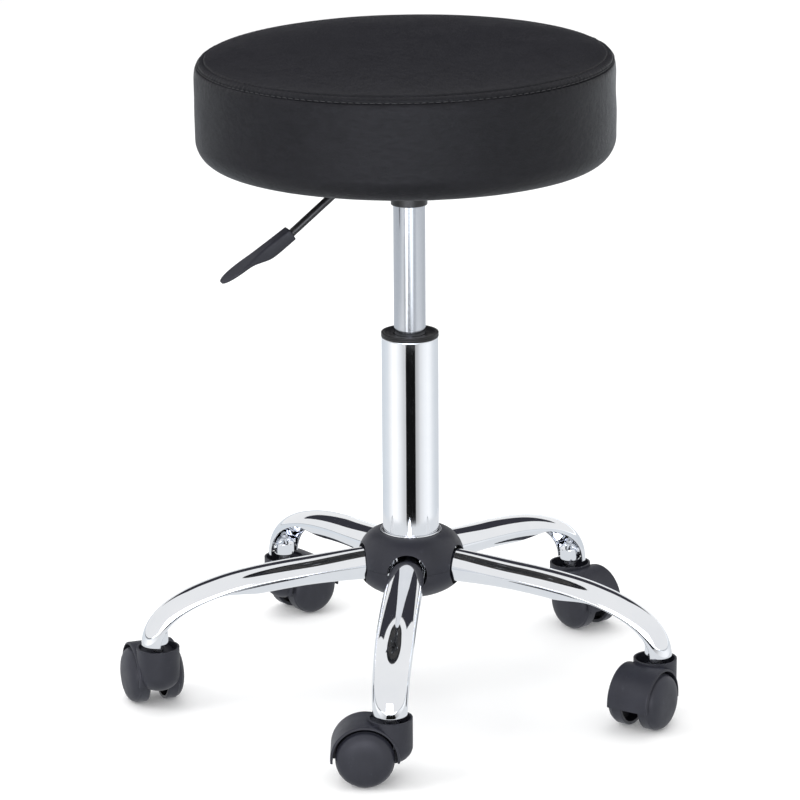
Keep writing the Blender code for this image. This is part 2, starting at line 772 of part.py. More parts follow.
def hood_mesh():
    """The round-bottomed cup at the stem and the fender over both wheels, with a web between them."""
    axle = Matrix.Translation((TRAIL, 0, WHEEL_RADIUS)) @ along_y()
    half = HOOD_HALF_WIDTH
    bottom = ellipse_points((0, CUP_BOTTOM + CUP_ROUND), (CUP_RADIUS, CUP_ROUND), 0, -90, 5)
    cup = turned_mesh("cup", [(0, CUP_TOP), (CUP_RADIUS, CUP_TOP)] + bottom, 24)
    fender = rod_mesh("fender", HOOD_RADIUS, -half, half, 24)
    below = box_mesh("below", (-0.03, -0.03, -0.01), (0.06, 0.03, HOOD_LIP))
    fender = combine("fender", fender, [("DIFFERENCE", helper(below, axle.inverted()))])
    hollow = rod_mesh("hollow", CUP_RADIUS - CUP_WALL, HOOD_LIP + 0.010, CUP_TOP + 0.01, 20)
    core = rod_mesh("core", HOOD_RADIUS - GAP, -half - 0.01, half + 0.01, 24)
    web = rod_mesh("web", 0.0115, -WEB_HALF_WIDTH, WEB_HALF_WIDTH, 16)
    boss = rod_mesh("boss", 0.0078, 0.034, 0.0500, 12)
    stem_hole = rod_mesh("stem_hole", STEM_RADIUS - 0.001 + GAP, 0.0345, 0.08, 12)
    steps = [
        ("UNION", helper(fender, axle)),
        ("DIFFERENCE", helper(combine("cavity", hollow, [("DIFFERENCE", helper(core, axle))]))),
    ]
    for side in (-1, 1):
        near, far = side * (WEB_HALF_WIDTH - GAP), side * (half + 0.01)
        well = rod_mesh("well", WELL_RADIUS, min(near, far), max(near, far), 20)
        steps.append(("DIFFERENCE", helper(well, axle)))
    steps.append(("UNION", helper(web, axle)))
    steps.append(("UNION", helper(boss)))
    steps.append(("DIFFERENCE", helper(stem_hole)))
    bore = rod_mesh("axle_hole", AXLE_RADIUS + GAP, -0.02, 0.02, 12)
    steps.append(("DIFFERENCE", helper(bore, axle)))
    return combine("hood", cup, steps)


def stem_mesh():
    """The stem: a thin end down in the hood, a full-width grip in the socket and a domed tip."""
    grip = STEM_RADIUS
    outline = [
        (0, 0.0800),
        (0.0022, 0.0793),
        (0.0036, 0.0770),
        (0.0036, 0.0738),
        (grip, 0.0718),
        (grip, 0.0530),
        (grip - 0.001, 0.0520),
        (grip - 0.001, 0.0350),
        (0, 0.0350),
    ]
    return turned_mesh("stem", outline, 12)


def make_casters():
    hood = hood_mesh()
    stem = stem_mesh()
    wheel = wheel_mesh()
    axle_reach = WHEEL_OUTER - 0.0040 - GAP
    axle = rod_mesh("axle", AXLE_RADIUS, -axle_reach, axle_reach, 12)
    for index, heading in enumerate(CASTER_HEADINGS_DEG):
        number = index + 1
        stem_place = turn_z(leg_heading(index)) @ Matrix.Translation((STEM_CIRCLE, 0, 0))
        swivel = Matrix.Translation(stem_place.translation) @ turn_z(heading)
        pivot = add_empty(f"caster_pivot_{number}", swivel)
        add_object(f"caster_stem_{number}", stem, zinc(), Matrix.Translation(stem_place.translation))
        add_object(f"caster_hood_{number}", hood, dark_plastic(), parent=pivot)
        wheel_place = Matrix.Translation((TRAIL, 0, WHEEL_RADIUS))
        add_object(f"caster_axle_{number}", axle, zinc(), wheel_place @ along_y(), pivot)
        add_object(f"wheel_left_{number}", wheel, dark_plastic(), wheel_place, pivot)
        facing_right = wheel_place @ Matrix.Rotation(math.pi, 4, "Z")
        add_object(f"wheel_right_{number}", wheel, dark_plastic(), facing_right, pivot)


def stand_on_axis():
    """Stands the whole stool on its column's place on the floor."""
    loose = [item for item in bpy.context.scene.objects if item.parent is None]
    axis = add_empty("column_axis", Matrix.Translation((*COLUMN_AXIS, 0)))
    for item in loose:
        item.parent = axis


def build():
    clear_scene()
    lever_turn = turn_z(LEVER_TURN_DEG)
    make_seat()
    make_seat_plate(lever_turn)
    make_bolts(lever_turn)
    make_receiver()
    make_lever(lever_turn)
    make_gas_lift()
    make_hub()
    make_legs()
    make_casters()
    stand_on_axis()


build()
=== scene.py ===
import json
import math
import random

import bmesh
import bpy
from mathutils import Matrix, Vector, noise


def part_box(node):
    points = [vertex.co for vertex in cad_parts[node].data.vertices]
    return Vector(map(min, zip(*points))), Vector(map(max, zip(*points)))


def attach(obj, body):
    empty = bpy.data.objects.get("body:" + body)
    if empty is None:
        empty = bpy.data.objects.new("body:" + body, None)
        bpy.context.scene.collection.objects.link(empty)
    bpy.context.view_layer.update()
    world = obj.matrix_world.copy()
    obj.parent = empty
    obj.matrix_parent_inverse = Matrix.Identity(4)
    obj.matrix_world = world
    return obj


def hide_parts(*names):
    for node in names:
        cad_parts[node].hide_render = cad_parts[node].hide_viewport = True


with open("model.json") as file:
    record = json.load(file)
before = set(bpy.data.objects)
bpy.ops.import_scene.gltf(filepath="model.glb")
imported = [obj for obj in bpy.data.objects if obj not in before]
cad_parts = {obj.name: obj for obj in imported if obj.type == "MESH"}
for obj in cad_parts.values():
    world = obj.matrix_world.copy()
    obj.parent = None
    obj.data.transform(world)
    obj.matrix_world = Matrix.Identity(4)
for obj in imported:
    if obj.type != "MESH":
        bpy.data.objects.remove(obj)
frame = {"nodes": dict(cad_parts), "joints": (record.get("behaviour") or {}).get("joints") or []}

TURN = 2 * math.pi
MM = 0.001
STILL = Matrix.Identity(4)


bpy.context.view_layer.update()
joints = {joint["name"]: joint for joint in frame["joints"]}
axis_x, axis_y, _ = joints["seat_swivel"]["pos_m"]
AXIS = Vector((axis_x, axis_y, 0.0))

# The camera's own directions on the floor: where its right is, and where it looks
VIEW_TURN = math.radians(37)
ACROSS = Vector((math.cos(VIEW_TURN), math.sin(VIEW_TURN), 0))
AWAY = Vector((-math.sin(VIEW_TURN), math.cos(VIEW_TURN), 0))


# ---------------- meshes


def finished_mesh(work, name, sharp_degrees=40):
    """The bmesh as a mesh, faces outward, smooth except across clear edges."""
    bmesh.ops.recalc_face_normals(work, faces=work.faces)
    mesh = bpy.data.meshes.new(name)
    work.to_mesh(mesh)
    work.free()
    mesh.shade_smooth()
    mesh.set_sharp_from_angle(angle=math.radians(sharp_degrees))
    return mesh


def spread(start, end, count):
    """Evenly spaced numbers from start to end."""
    return [start + (end - start) * index / (count - 1) for index in range(count)]


def bezier2(start, middle, end, count):
    return [(1 - t) ** 2 * start + 2 * t * (1 - t) * middle + t * t * end for t in spread(0, 1, count)]


def around(radius, angle, height):
    return Vector((radius * math.cos(angle), radius * math.sin(angle), height))


def bridge(work, first, second):
    """Faces between two rings of vertices; a ring of one vertex is a tip."""
    sides = max(len(first), len(second))
    if sides == 1:
        return
    for a in range(sides):
        b = (a + 1) % sides
        if len(first) == 1:
            work.faces.new((first[0], second[b], second[a]))
        elif len(second) == 1:
            work.faces.new((first[a], first[b], second[0]))
        else:
            work.faces.new((first[a], first[b], second[b], second[a]))


def skin(work, rings):
    for first, second in zip(rings, rings[1:]):
        bridge(work, first, second)


def rounded(outline, radius=0.4 * MM, steps=3):
    """A closed outline with each clear corner off the axis replaced by a small arc."""
    points = []
    for index, corner in enumerate(outline):
        here = Vector(corner)
        before = Vector(outline[index - 1]) - here
        after = Vector(outline[(index + 1) % len(outline)]) - here
        if here.x < 1e-6 or before.angle(after) > math.radians(155):
            points.append(here)
            continue
        reach = min(radius, 0.4 * before.length, 0.4 * after.length)
        start = here + before.normalized() * reach
        end = here + after.normalized() * reach
        points += bezier2(start, here, end, steps + 1)
    return points


def propped(outline, reach=0.5 * MM):
    """The closed outline with points added close to both ends of its long upright walls."""
    points = []
    for here, following in zip(outline, outline[1:] + outline[:1]):
        points.append(here)
        upright = abs(following[0] - here[0]) < 0.2 * abs(following[1] - here[1])
        if upright and min(here[0], following[0]) > 1e-6 and abs(following[1] - here[1]) > 8 * reach:
            share = reach / abs(following[1] - here[1])
            for part in (share, 1 - share):
                points.append(tuple(a + (b - a) * part for a, b in zip(here, following)))
    return points


def turned_mesh(name, outline, sides=96, sharp_degrees=40):
    """A closed outline of (radius, height) points spun round Z."""
    outline = propped(outline)
    work = bmesh.new()
    rings = []
    for radius, height in outline:
        if radius < 1e-6:
            rings.append([work.verts.new((0, 0, height))])
            continue
        ring = [around(radius, TURN * step / sides, height) for step in range(sides)]
        rings.append([work.verts.new(point) for point in ring])
    skin(work, rings + rings[:1])
    return finished_mesh(work, name, sharp_degrees)


def in_metres(*points):
    """Points given in millimetres."""
    return [(x * MM, y * MM) for x, y in points]


def rod_mesh(name, radius, low, high, sides=64):
    return turned_mesh(name, [(0, high), (radius, high), (radius, low), (0, low)], sides)


def box_mesh(name, low, high):
    work = bmesh.new()
    bmesh.ops.create_cube(work, size=1.0)
    bmesh.ops.scale(work, vec=Vector(high) - Vector(low), verts=work.verts)
    bmesh.ops.translate(work, vec=(Vector(high) + Vector(low)) / 2, verts=work.verts)
    return finished_mesh(work, name)


def add_bar(work, points, radii, sides=12):
    """A round bar along a line of points, its rings square to the line, closed at both ends."""
    angles = [TURN * step / sides for step in range(sides)]
    rings = []
    side = None
    for index, (point, radius) in enumerate(zip(points, radii)):
        ahead = points[min(index + 1, len(points) - 1)] - points[max(index - 1, 0)]
        ahead.normalize()
        if side is None:
            side = ahead.cross(Vector((0, 0, 1)))
            if side.length < 1e-3:
                side = ahead.cross(Vector((1, 0, 0)))
        side = (side - ahead * side.dot(ahead)).normalized()
        rise = side.cross(ahead)
        offsets = [(radius * math.cos(angle), radius * math.sin(angle)) for angle in angles]
        rings.append([work.verts.new(point + side * x + rise * y) for x, y in offsets])
    skin(work, rings)
    work.faces.new(rings[0])
    work.faces.new(rings[-1])


def new_object(name, data):
    made = bpy.data.objects.new(name, data)
    bpy.context.scene.collection.objects.link(made)
    return made


def applied(name, work):
    """The object's mesh with its modifiers applied; the object goes."""
    bpy.context.view_layer.update()
    graph = bpy.context.evaluated_depsgraph_get()
    mesh = bpy.data.meshes.new_from_object(work.evaluated_get(graph))
    mesh.name = name
    bpy.data.objects.remove(work)
    mesh.shade_smooth()
    return mesh


def cut_mesh(name, base, steps, bevel=0.0, segments=2):
    """The base mesh after Booleans given as (operation, mesh, matrix), with its edges eased."""
    work = new_object(name, base)
    helpers = []
    for operation, mesh, matrix in steps:
        other = new_object(name + "_helper", mesh)
        other.matrix_world = matrix
        helpers.append(other)
        cut = work.modifiers.new(operation, "BOOLEAN")
        cut.operation = operation
        cut.solver = "EXACT"
        cut.object = other
    if bevel:
        ease = work.modifiers.new("ease", "BEVEL")
        ease.width = bevel
        ease.segments = segments
        ease.limit_method = "ANGLE"
        ease.angle_limit = math.radians(38)
        ease.harden_normals = True
    mesh = applied(name, work)
    for item in helpers:
        bpy.data.objects.remove(item)
    mesh.set_sharp_from_angle(angle=math.radians(42))
    return mesh


def add_piece(name, mesh, look, body, matrix=STILL, stands_for=(), slot=None):
    """One piece of the object, riding on its CAD body, in its look."""
    if not mesh.materials:
        mesh.materials.append(look)
    item = new_object(name, mesh)
    item.matrix_world = matrix
    slot = slot or look.name.partition(".")[0]  # Blender numbers a name that the CAD's materials use
    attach(item, body)
    if stands_for:
        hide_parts(*stands_for)
    return item


def moved(x=0.0, y=0.0, z=0.0):
    return Matrix.Translation((x, y, z))


def on_axis():
    return Matrix.Translation(AXIS)


def turn(degrees, axis="Z"):
    return Matrix.Rotation(math.radians(degrees), 4, axis)


ALONG_X = turn(90, "Y")
ALONG_Y = turn(-90, "X")


def round_box(node):
    """The two corners of an upright round node, and its radius."""
    low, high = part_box(node)
    return low, high, (high.x - low.x) / 2


def arc(centre, radii, start_degrees, end_degrees, count):
    points = []
    for degrees in spread(start_degrees, end_degrees, count):
        angle = math.radians(degrees)
        points.append((centre[0] + radii[0] * math.cos(angle), centre[1] + radii[1] * math.sin(angle)))
    return points


def smoothstep(low, high, value):
    t = min(max((value - low) / (high - low), 0.0), 1.0)
    return t * t * (3 - 2 * t)


# ---------------- materials


class Look:
    """A node material: its Principled shader, and short ways to add nodes to it."""

    def __init__(self, name, **values):
        self.material = bpy.data.materials.new(name)
        self.material.use_nodes = True
        self.tree = self.material.node_tree
        self.shader = self.tree.nodes["Principled BSDF"]
        for key, value in values.items():
            self.shader.inputs[key.replace("_", " ").title()].default_value = value
        self.place = self.node("TexCoord").outputs["Object"]

    def node(self, kind, **inputs):
        made = self.tree.nodes.new("ShaderNode" + kind)
        for key, value in inputs.items():
            self.plug(value, made.inputs[key])
        return made

    def plug(self, value, socket):
        """Link the socket to an output, or give it a number or a colour."""
        if isinstance(value, bpy.types.NodeSocket):
            self.tree.links.new(value, socket)
        elif isinstance(value, tuple) and len(value) < len(socket.default_value):
            socket.default_value = (*value, 1.0)
        else:
            socket.default_value = value

    def stretched(self, x, y, z):
        return self.node("Mapping", Vector=self.place, Scale=(x, y, z)).outputs["Vector"]

    def noise(self, scale, detail=4.0, roughness=0.5, place=None):
        place = place or self.place
        made = self.node("TexNoise", Vector=place, Scale=scale, Detail=detail, Roughness=roughness)
        return made.outputs["Fac"]

    def cells(self, scale, feature="DISTANCE_TO_EDGE"):
        made = self.node("TexVoronoi", Vector=self.place, Scale=scale)
        made.feature = feature
        return made.outputs["Distance"]

    def ranged(self, value, low, high, new_low=0.0, new_high=1.0):
        limits = {"From Min": low, "From Max": high, "To Min": new_low, "To Max": new_high}
        return self.node("MapRange", Value=value, **limits).outputs["Result"]

    def maths(self, operation, first, second):
        made = self.node("Math")
        made.operation = operation
        for socket, value in zip(made.inputs, (first, second)):
            self.plug(value, socket)
        return made.outputs["Value"]

    def mixed(self, share, first, second):
        """A colour between two colours (or colour outputs), by share."""
        made = self.node("Mix")
        made.data_type = "RGBA"
        for index, value in ((0, share), (6, first), (7, second)):
            self.plug(value, made.inputs[index])
        return made.outputs[2]

    def bump(self, height, distance, strength=1.0, under=None):
        made = self.node("Bump", Height=height, Distance=distance, Strength=strength)
        if under:
            self.plug(under, made.inputs["Normal"])
        return made.outputs["Normal"]

    def finish(self, colour, roughness, normal=None):
        self.plug(colour, self.shader.inputs["Base Color"])
        self.plug(roughness, self.shader.inputs["Roughness"])
        if normal:
            self.plug(normal, self.shader.inputs["Normal"])
        return self.material


def vinyl_look():
    """Black upholstery vinyl: a fine pebble grain with creases, softly glossy, with painted shade in the
    pebble grooves and a painted highlight on the crease ridges.
    """
    look = Look("black_vinyl")
    look.shader.inputs["Specular IOR Level"].default_value = 0.20
    pebbles = look.cells(1150)
    fine = look.noise(2600, 2.0)
    wide = look.noise(14, 3.0)
    creases = look.noise(120, 5.0, 0.62, look.stretched(1, 1, 1.9))
    tops = look.ranged(pebbles, 0.0, 0.09)
    height = look.maths("ADD", tops, look.maths("MULTIPLY", fine, 0.25))
    normal = look.bump(height, 0.00012, 0.6)
    normal = look.bump(creases, 0.0022, 0.4, normal)
    normal = look.bump(wide, 0.006, 0.25, normal)
    worn = look.noise(31, 5.0, 0.65)
    rubbed = look.maths("ADD", worn, look.maths("MULTIPLY", fine, 0.4))
    roughness = look.ranged(rubbed, 0.45, 0.95, 0.38, 0.46)
    patches = look.ranged(worn, 0.35, 0.7)
    shade = look.mixed(patches, (0.0050, 0.0050, 0.0075), (0.0072, 0.0072, 0.0102))
    # Darker in the grooves between the pebbles: painted shade.
    shade = look.mixed(look.ranged(pebbles, 0.0, 0.05, 0.55, 0.0), shade, (0.003, 0.003, 0.004))
    # Lighter where the creases stand up: a painted highlight on the crease ridges.
    shade = look.mixed(look.ranged(creases, 0.42, 0.62, 0.0, 0.34), shade, (0.011, 0.011, 0.015))
    return look.finish(shade, roughness, normal)


def thread_look():
    look = Look("seam_thread")
    twist = look.noise(3000, 1.0, 0.5, look.stretched(1, 1, 0.3))
    shade = look.mixed(twist, (0.012, 0.012, 0.013), (0.035, 0.036, 0.040))
    roughness = look.ranged(twist, 0.3, 0.7, 0.5, 0.7)
    return look.finish(shade, roughness, look.bump(twist, 0.0001))


def chrome_look():
    """Mirror chrome with a trace of haze, orange peel and fine wiping marks."""
    look = Look("chrome", Metallic=1.0)
    haze = look.noise(22, 6.0, 0.6)
    wipes = look.noise(900, 2.0, 0.5, look.stretched(1, 1, 0.05))
    dull = look.maths("ADD", haze, look.maths("MULTIPLY", wipes, 0.3))
    roughness = look.ranged(dull, 0.4, 0.95, 0.018, 0.075)
    shade = look.mixed(look.ranged(haze, 0.35, 0.7), (0.83, 0.85, 0.885), (0.88, 0.895, 0.92))
    normal = look.bump(look.noise(60, 2.0), 0.0004, 0.05)
    return look.finish(shade, roughness, look.bump(wipes, 0.00001, 0.15, normal))


def ground_steel_look():
    """The piston tube: ground steel with fine rings round it, under a satin plate."""
    look = Look("satin_steel", Metallic=1.0)
    rings = look.noise(60, 4.0, 0.6, look.stretched(1, 1, 60))
    haze = look.noise(25, 4.0)
    worn = look.maths("ADD", haze, look.maths("MULTIPLY", rings, 0.5))
    roughness = look.ranged(worn, 0.5, 1.0, 0.10, 0.17)
    shade = look.mixed(rings, (0.52, 0.54, 0.58), (0.60, 0.62, 0.66))
    return look.finish(shade, roughness, look.bump(rings, 0.00003, 0.35))


def zinc_look():
    look = Look("zinc_plate", Metallic=1.0)
    spangle = look.cells(420, "F1")
    haze = look.noise(160, 4.0)
    shade = look.mixed(spangle, (0.55, 0.57, 0.60), (0.68, 0.70, 0.73))
    roughness = look.ranged(haze, 0.3, 0.7, 0.24, 0.42)
    return look.finish(shade, roughness, look.bump(haze, 0.00008, 0.3))


def plastic_look(name, dark, light, rough_low, rough_high, grain=0.00006):
    """Moulded plastic with a spark-eroded grain, faint flow marks and rubbed patches."""
    look = Look(name)
    look.shader.inputs["Specular IOR Level"].default_value = 0.38
    pits = look.noise(1500, 3.0, 0.6)
    flow = look.noise(38, 4.0, 0.55, look.stretched(1, 1, 0.5))
    rubbed = look.noise(120, 5.0, 0.7)
    shade = look.mixed(look.ranged(flow, 0.35, 0.68), dark, light)
    marks = look.ranged(rubbed, 0.62, 0.75, 0.0, 0.22)
    shade = look.mixed(marks, shade, tuple(min(3.0 * c, 0.2) for c in light))
    roughness = look.ranged(look.maths("ADD", flow, rubbed), 0.7, 1.3, rough_high, rough_low)
    normal = look.bump(pits, grain, 0.8)
    return look.finish(shade, roughness, look.bump(flow, 0.0008, 0.12, normal))


def painted_look():
    look = Look("black_painted_steel")
    peel = look.noise(520, 3.0, 0.5)
    chips = look.noise(70, 6.0, 0.7)
    patches = look.ranged(chips, 0.35, 0.7)
    shade = look.mixed(patches, (0.0075, 0.0075, 0.0085), (0.016, 0.016, 0.018))
    roughness = look.ranged(chips, 0.3, 0.75, 0.24, 0.42)
    return look.finish(shade, roughness, look.bump(peel, 0.00025, 0.25))


def rubber_look():
    look = Look("rubber")
    grain = look.noise(900, 4.0)
    shade = look.mixed(grain, (0.014, 0.014, 0.014), (0.028, 0.028, 0.028))
    roughness = look.ranged(grain, 0.3, 0.7, 0.7, 0.9)
    return look.finish(shade, roughness, look.bump(grain, 0.0002))


def plywood_look():
    """Plywood stained black: long wavering grain, with pores where the wood shows through."""
    look = Look("plywood")
    along = look.stretched(9, 1.2, 60)
    grain = look.noise(22, 7.0, 0.62, along)
    pores = look.noise(260, 3.0, 0.6, look.stretched(7, 0.6, 7))
    shade = look.mixed(look.ranged(grain, 0.3, 0.7), (0.020, 0.018, 0.017), (0.036, 0.033, 0.031))
    shade = look.mixed(look.ranged(pores, 0.60, 0.72, 0.0, 0.55), shade, (0.060, 0.042, 0.028))
    roughness = look.ranged(grain, 0.3, 0.7, 0.6, 0.8)
    return look.finish(shade, roughness, look.bump(pores, 0.0003, 0.5))


def floor_look():
    """A pale floor that glows faintly, and that can be seen through from below."""
    look = Look("studio_floor", Emission_Color=(1, 1, 1, 1), Emission_Strength=0.10)
    tone = look.mixed(look.noise(1.7, 2.0), (0.90, 0.90, 0.90), (0.92, 0.92, 0.92))
    look.finish(tone, look.ranged(look.noise(6, 3.0), 0.3, 0.7, 0.75, 0.9))
    blend = look.node("MixShader")
    look.plug(look.node("NewGeometry").outputs["Backfacing"], blend.inputs[0])
    look.plug(look.shader.outputs[0], blend.inputs[1])
    look.plug(look.node("BsdfTransparent").outputs[0], blend.inputs[2])
    look.plug(blend.outputs[0], look.tree.nodes["Material Output"].inputs["Surface"])
    return look.material


VINYL = vinyl_look()
THREAD = thread_look()
CHROME = chrome_look()
STEEL = ground_steel_look()
ZINC = zinc_look()
GREY_DARK = (0.0175, 0.0185, 0.027)
GREY_LIGHT = (0.025, 0.0262, 0.037)
GREY_PLASTIC = plastic_look("dark_grey_plastic", GREY_DARK, GREY_LIGHT, 0.40, 0.54)
BLACK_PLASTIC = plastic_look("black_plastic", (0.010, 0.010, 0.011), (0.017, 0.017, 0.019), 0.34, 0.5)
PAINT = painted_look()
RUBBER = rubber_look()
PLYWOOD = plywood_look()


# ---------------- seat

SEAT_LOW, SEAT_HIGH, SEAT_RADIUS = round_box("seat_cover")
SEAT_TOP = SEAT_HIGH.z
SEAT_BOTTOM = SEAT_LOW.z
BOARD_LOW, BOARD_HIGH, BOARD_RADIUS = round_box("seat_board")
HEM_RADIUS = 140 * MM
TOP_SEAM = Vector((173.2 * MM, SEAT_TOP - 11 * MM))  # radius and height of the seam round the top panel
SIDE_SEAM = Vector((178.6 * MM, SEAT_TOP - 15.6 * MM))  # the stitched seam at the top of the side panel
CROWN = SEAT_TOP - 1 * MM - TOP_SEAM.y
STITCH_PITCH = 6 * MM
STITCH_COUNT = round(TURN * SIDE_SEAM.x / STITCH_PITCH)
LEAN_BACK = math.radians(0.77)  # the foam stands a little higher at the back and on the right
LEAN_SIDE = math.radians(0.72)
SEAT_SHIFT = 2.7 * MM
SEAT_SIDES = 720


def top_panel_points():
    """From the middle of the seat to the top seam: nearly flat, then rolling down into the seam."""
    points = []
    for index in range(44):
        share = 1 - (1 - index / 44) ** 1.9
        rise = CROWN * max(1 - share**3, 0.0) ** 0.62
        points.append(Vector((TOP_SEAM.x * share, TOP_SEAM.y + rise)))
    return points


def side_panel_points():
    """From the side seam down the fat of the side, round the lower corner to the bottom."""
    corner = 21 * MM
    wall_top = Vector((SEAT_RADIUS + 0.2 * MM, SEAT_TOP - 27 * MM))
    wall_low = Vector((SEAT_RADIUS - 0.4 * MM, SEAT_BOTTOM + corner))
    roll = bezier2(SIDE_SEAM, Vector((SEAT_RADIUS + 0.2 * MM, SIDE_SEAM.y - 1.5 * MM)), wall_top, 16)
    wall = bezier2(wall_top, Vector((SEAT_RADIUS - 0.2 * MM, SEAT_TOP - 50 * MM)), wall_low, 18)[1:]
    centre = (wall_low.x - corner, wall_low.y)
    bend = [Vector(point) for point in arc(centre, (corner, corner), 0, -90, 20)][1:]
    return roll + wall + bend


def cushion_outline():
    """The whole closed outline, with a name for each stretch."""
    welt_peak = (TOP_SEAM + SIDE_SEAM) / 2 + Vector((1.4 * MM, 1.5 * MM))
    welt = bezier2(TOP_SEAM, welt_peak, SIDE_SEAM, 10)[1:-1]
    side = side_panel_points()
    hem = Vector((HEM_RADIUS, SEAT_BOTTOM))
    under = [side[-1] + (hem - side[-1]) * share for share in spread(0, 1, 12)][1:]
    lining_z = BOARD_LOW.z - 0.25 * MM
    inside = [
        Vector((HEM_RADIUS, lining_z - 0.4 * MM)),
        Vector((HEM_RADIUS + 0.5 * MM, lining_z)),
        Vector((BOARD_RADIUS + 0.4 * MM, lining_z)),
        Vector((BOARD_RADIUS + 0.4 * MM, BOARD_HIGH.z + 0.4 * MM)),
        Vector((0, BOARD_HIGH.z + 0.4 * MM)),
    ]
    stretches = (("top", top_panel_points()), ("top_seam", [TOP_SEAM]), ("welt", welt), ("side", side))
    named = [(kind, point) for kind, points in stretches for point in points]
    return named + [("under", point) for point in under] + [("inside", point) for point in inside]


def seam_pull(distance, reach):
    """How strongly a seam draws the vinyl in, from 1 on the seam to 0 at reach."""
    return max(1 - abs(distance) / reach, 0.0) ** 2


def puckers(angle, seed, count):
    """Uneven ripples round a seam, about one to each stitch, between -1 and 1."""
    wave = math.sin(angle * count + 2.2 * noise.noise((math.cos(angle) * 9, math.sin(angle) * 9, seed)))
    strength = 0.55 + 0.9 * noise.noise((math.cos(angle) * 23, math.sin(angle) * 23, seed + 5))
    return wave * max(strength, 0.0)


def swell(kind, point, angle):
    """How far the vinyl stands out from the plain outline, in metres."""
    if kind == "inside":
        return 0.0
    ring = Vector((math.cos(angle), math.sin(angle)))
    out = 0.0
    near_top = (point - TOP_SEAM).length
    near_side = (point - SIDE_SEAM).length
    if kind in ("top", "top_seam", "welt"):
        out -= 0.7 * MM * seam_pull(near_top, 1.8 * MM)
        out += 0.30 * MM * seam_pull(near_top, 9 * MM) * puckers(angle, 1.0, 173)
    if kind in ("welt", "side"):
        out -= 1.1 * MM * seam_pull(near_side, 2.2 * MM)
        out += 0.34 * MM * seam_pull(near_side, 10 * MM) * puckers(angle, 2.0, STITCH_COUNT)
    if kind == "welt":
        out += 0.30 * MM * puckers(angle, 3.0, 211)
    if kind == "side":
        sag = noise.noise((ring.x * 2.1, ring.y * 2.1, point.y * 17))
        folds = noise.noise((ring.x * 7.5, ring.y * 7.5, point.y * 60))
        slack = smoothstep(SEAT_BOTTOM, SEAT_BOTTOM + 20 * MM, point.y)
        out += slack * (0.55 * MM * sag + 0.22 * MM * folds)
        right = ring.dot(ACROSS.xy)
        low = smoothstep(SEAT_TOP - 34 * MM, SEAT_TOP - 66 * MM, point.y)
        out += smoothstep(0.5, 1.0, right) * (1.2 * MM * low - 1.0 * MM)
    if kind == "top":
        dish = noise.noise((ring.x * point.x * 17, ring.y * point.x * 17, 3.0))
        out += 0.45 * MM * dish * smoothstep(0, 20 * MM, near_top)
    if kind == "under" or (kind == "side" and point.y < SEAT_BOTTOM + 12 * MM):
        reach = smoothstep(SEAT_RADIUS - 10 * MM, HEM_RADIUS, point.x)
        pleat = noise.noise((ring.x * 15, ring.y * 15, 8.0)) - 0.15
        out += reach * 1.1 * MM * max(pleat, 0.0) * 2
    return out


def leaned(point):
    """The upholstery's slight lean and shift: none where it is fixed to the board, full outside that."""
    flat = Vector((point.x - AXIS.x, point.y - AXIS.y, 0))
    outside = smoothstep(HEM_RADIUS + 8 * MM, BOARD_RADIUS + 14 * MM, flat.length)
    share = max(outside, smoothstep(BOARD_HIGH.z + 1 * MM, BOARD_HIGH.z + 25 * MM, point.z))
    share_up = 0.2 + 0.8 * smoothstep(SEAT_BOTTOM, SEAT_TOP, point.z)
    lift = share_up * (math.tan(LEAN_BACK) * flat.dot(AWAY) + math.tan(LEAN_SIDE) * flat.dot(ACROSS))
    return point + share * (Vector((0, 0, lift)) - SEAT_SHIFT * ACROSS)


def outline_normals(points):
    normals = []
    for index, point in enumerate(points):
        along = points[min(index + 1, len(points) - 1)] - points[max(index - 1, 0)]
        normals.append(Vector((-along.y, along.x)).normalized())
    return normals


def cushion_mesh():
    named = cushion_outline()
    points = [point for _, point in named]
    normals = outline_normals(points)
    work = bmesh.new()
    rings = []
    for (kind, point), normal in zip(named, normals):
        if point.x < 1e-6:
            rings.append([work.verts.new(leaned(AXIS + Vector((0, 0, point.y))))])
            continue
        ring = []
        for step in range(SEAT_SIDES):
            angle = TURN * step / SEAT_SIDES
            moved_out = point + normal * swell(kind, point, angle)
            ring.append(work.verts.new(leaned(AXIS + around(moved_out.x, angle, moved_out.y))))
        rings.append(ring)
    skin(work, rings)
    return finished_mesh(work, "seat_cushion", 75)


def add_stitches():
    """Short threads that dive into the vinyl at both ends, all round the side seam."""
    work = bmesh.new()
    length = 4.3 * MM
    for index in range(STITCH_COUNT):
        middle = TURN * index / STITCH_COUNT
        points = []
        for share in spread(-1, 1, 7):
            angle = middle + share * length / 2 / SIDE_SEAM.x
            rise = 0.35 * MM - 0.95 * MM * share**4
            out = SIDE_SEAM + Vector((0.75, 0.66)) * rise
            points.append(leaned(AXIS + around(out.x, angle, out.y)))
        add_bar(work, points, [MM * radius for radius in (0.30, 0.40, 0.42, 0.42, 0.42, 0.40, 0.30)], 8)
    add_piece("seat_stitches", finished_mesh(work, "seat_stitches"), THREAD, "seat", slot="black_vinyl")


def add_staples():
    """Staples that hold the hem to the board, each a wire pressed into the vinyl."""
    work = bmesh.new()
    chance = random.Random(4)
    count = 44
    for index in range(count):
        angle = TURN * (index + chance.uniform(-0.16, 0.16)) / count
        radius = HEM_RADIUS + 6 * MM + chance.uniform(-0.8, 0.8) * MM
        lean = angle + math.pi / 2 + chance.uniform(-0.25, 0.25)
        middle = AXIS + around(radius, angle, SEAT_BOTTOM - 0.15 * MM)
        along = Vector((math.cos(lean), math.sin(lean), 0))
        points = []
        for share in spread(-1, 1, 9):
            dip = 0.9 * MM * abs(share) ** 6
            points.append(middle + along * 5 * MM * share + Vector((0, 0, dip)))
        add_bar(work, points, [0.32 * MM] * 9, 8)
    add_piece("hem_staples", finished_mesh(work, "hem_staples"), ZINC, "seat")


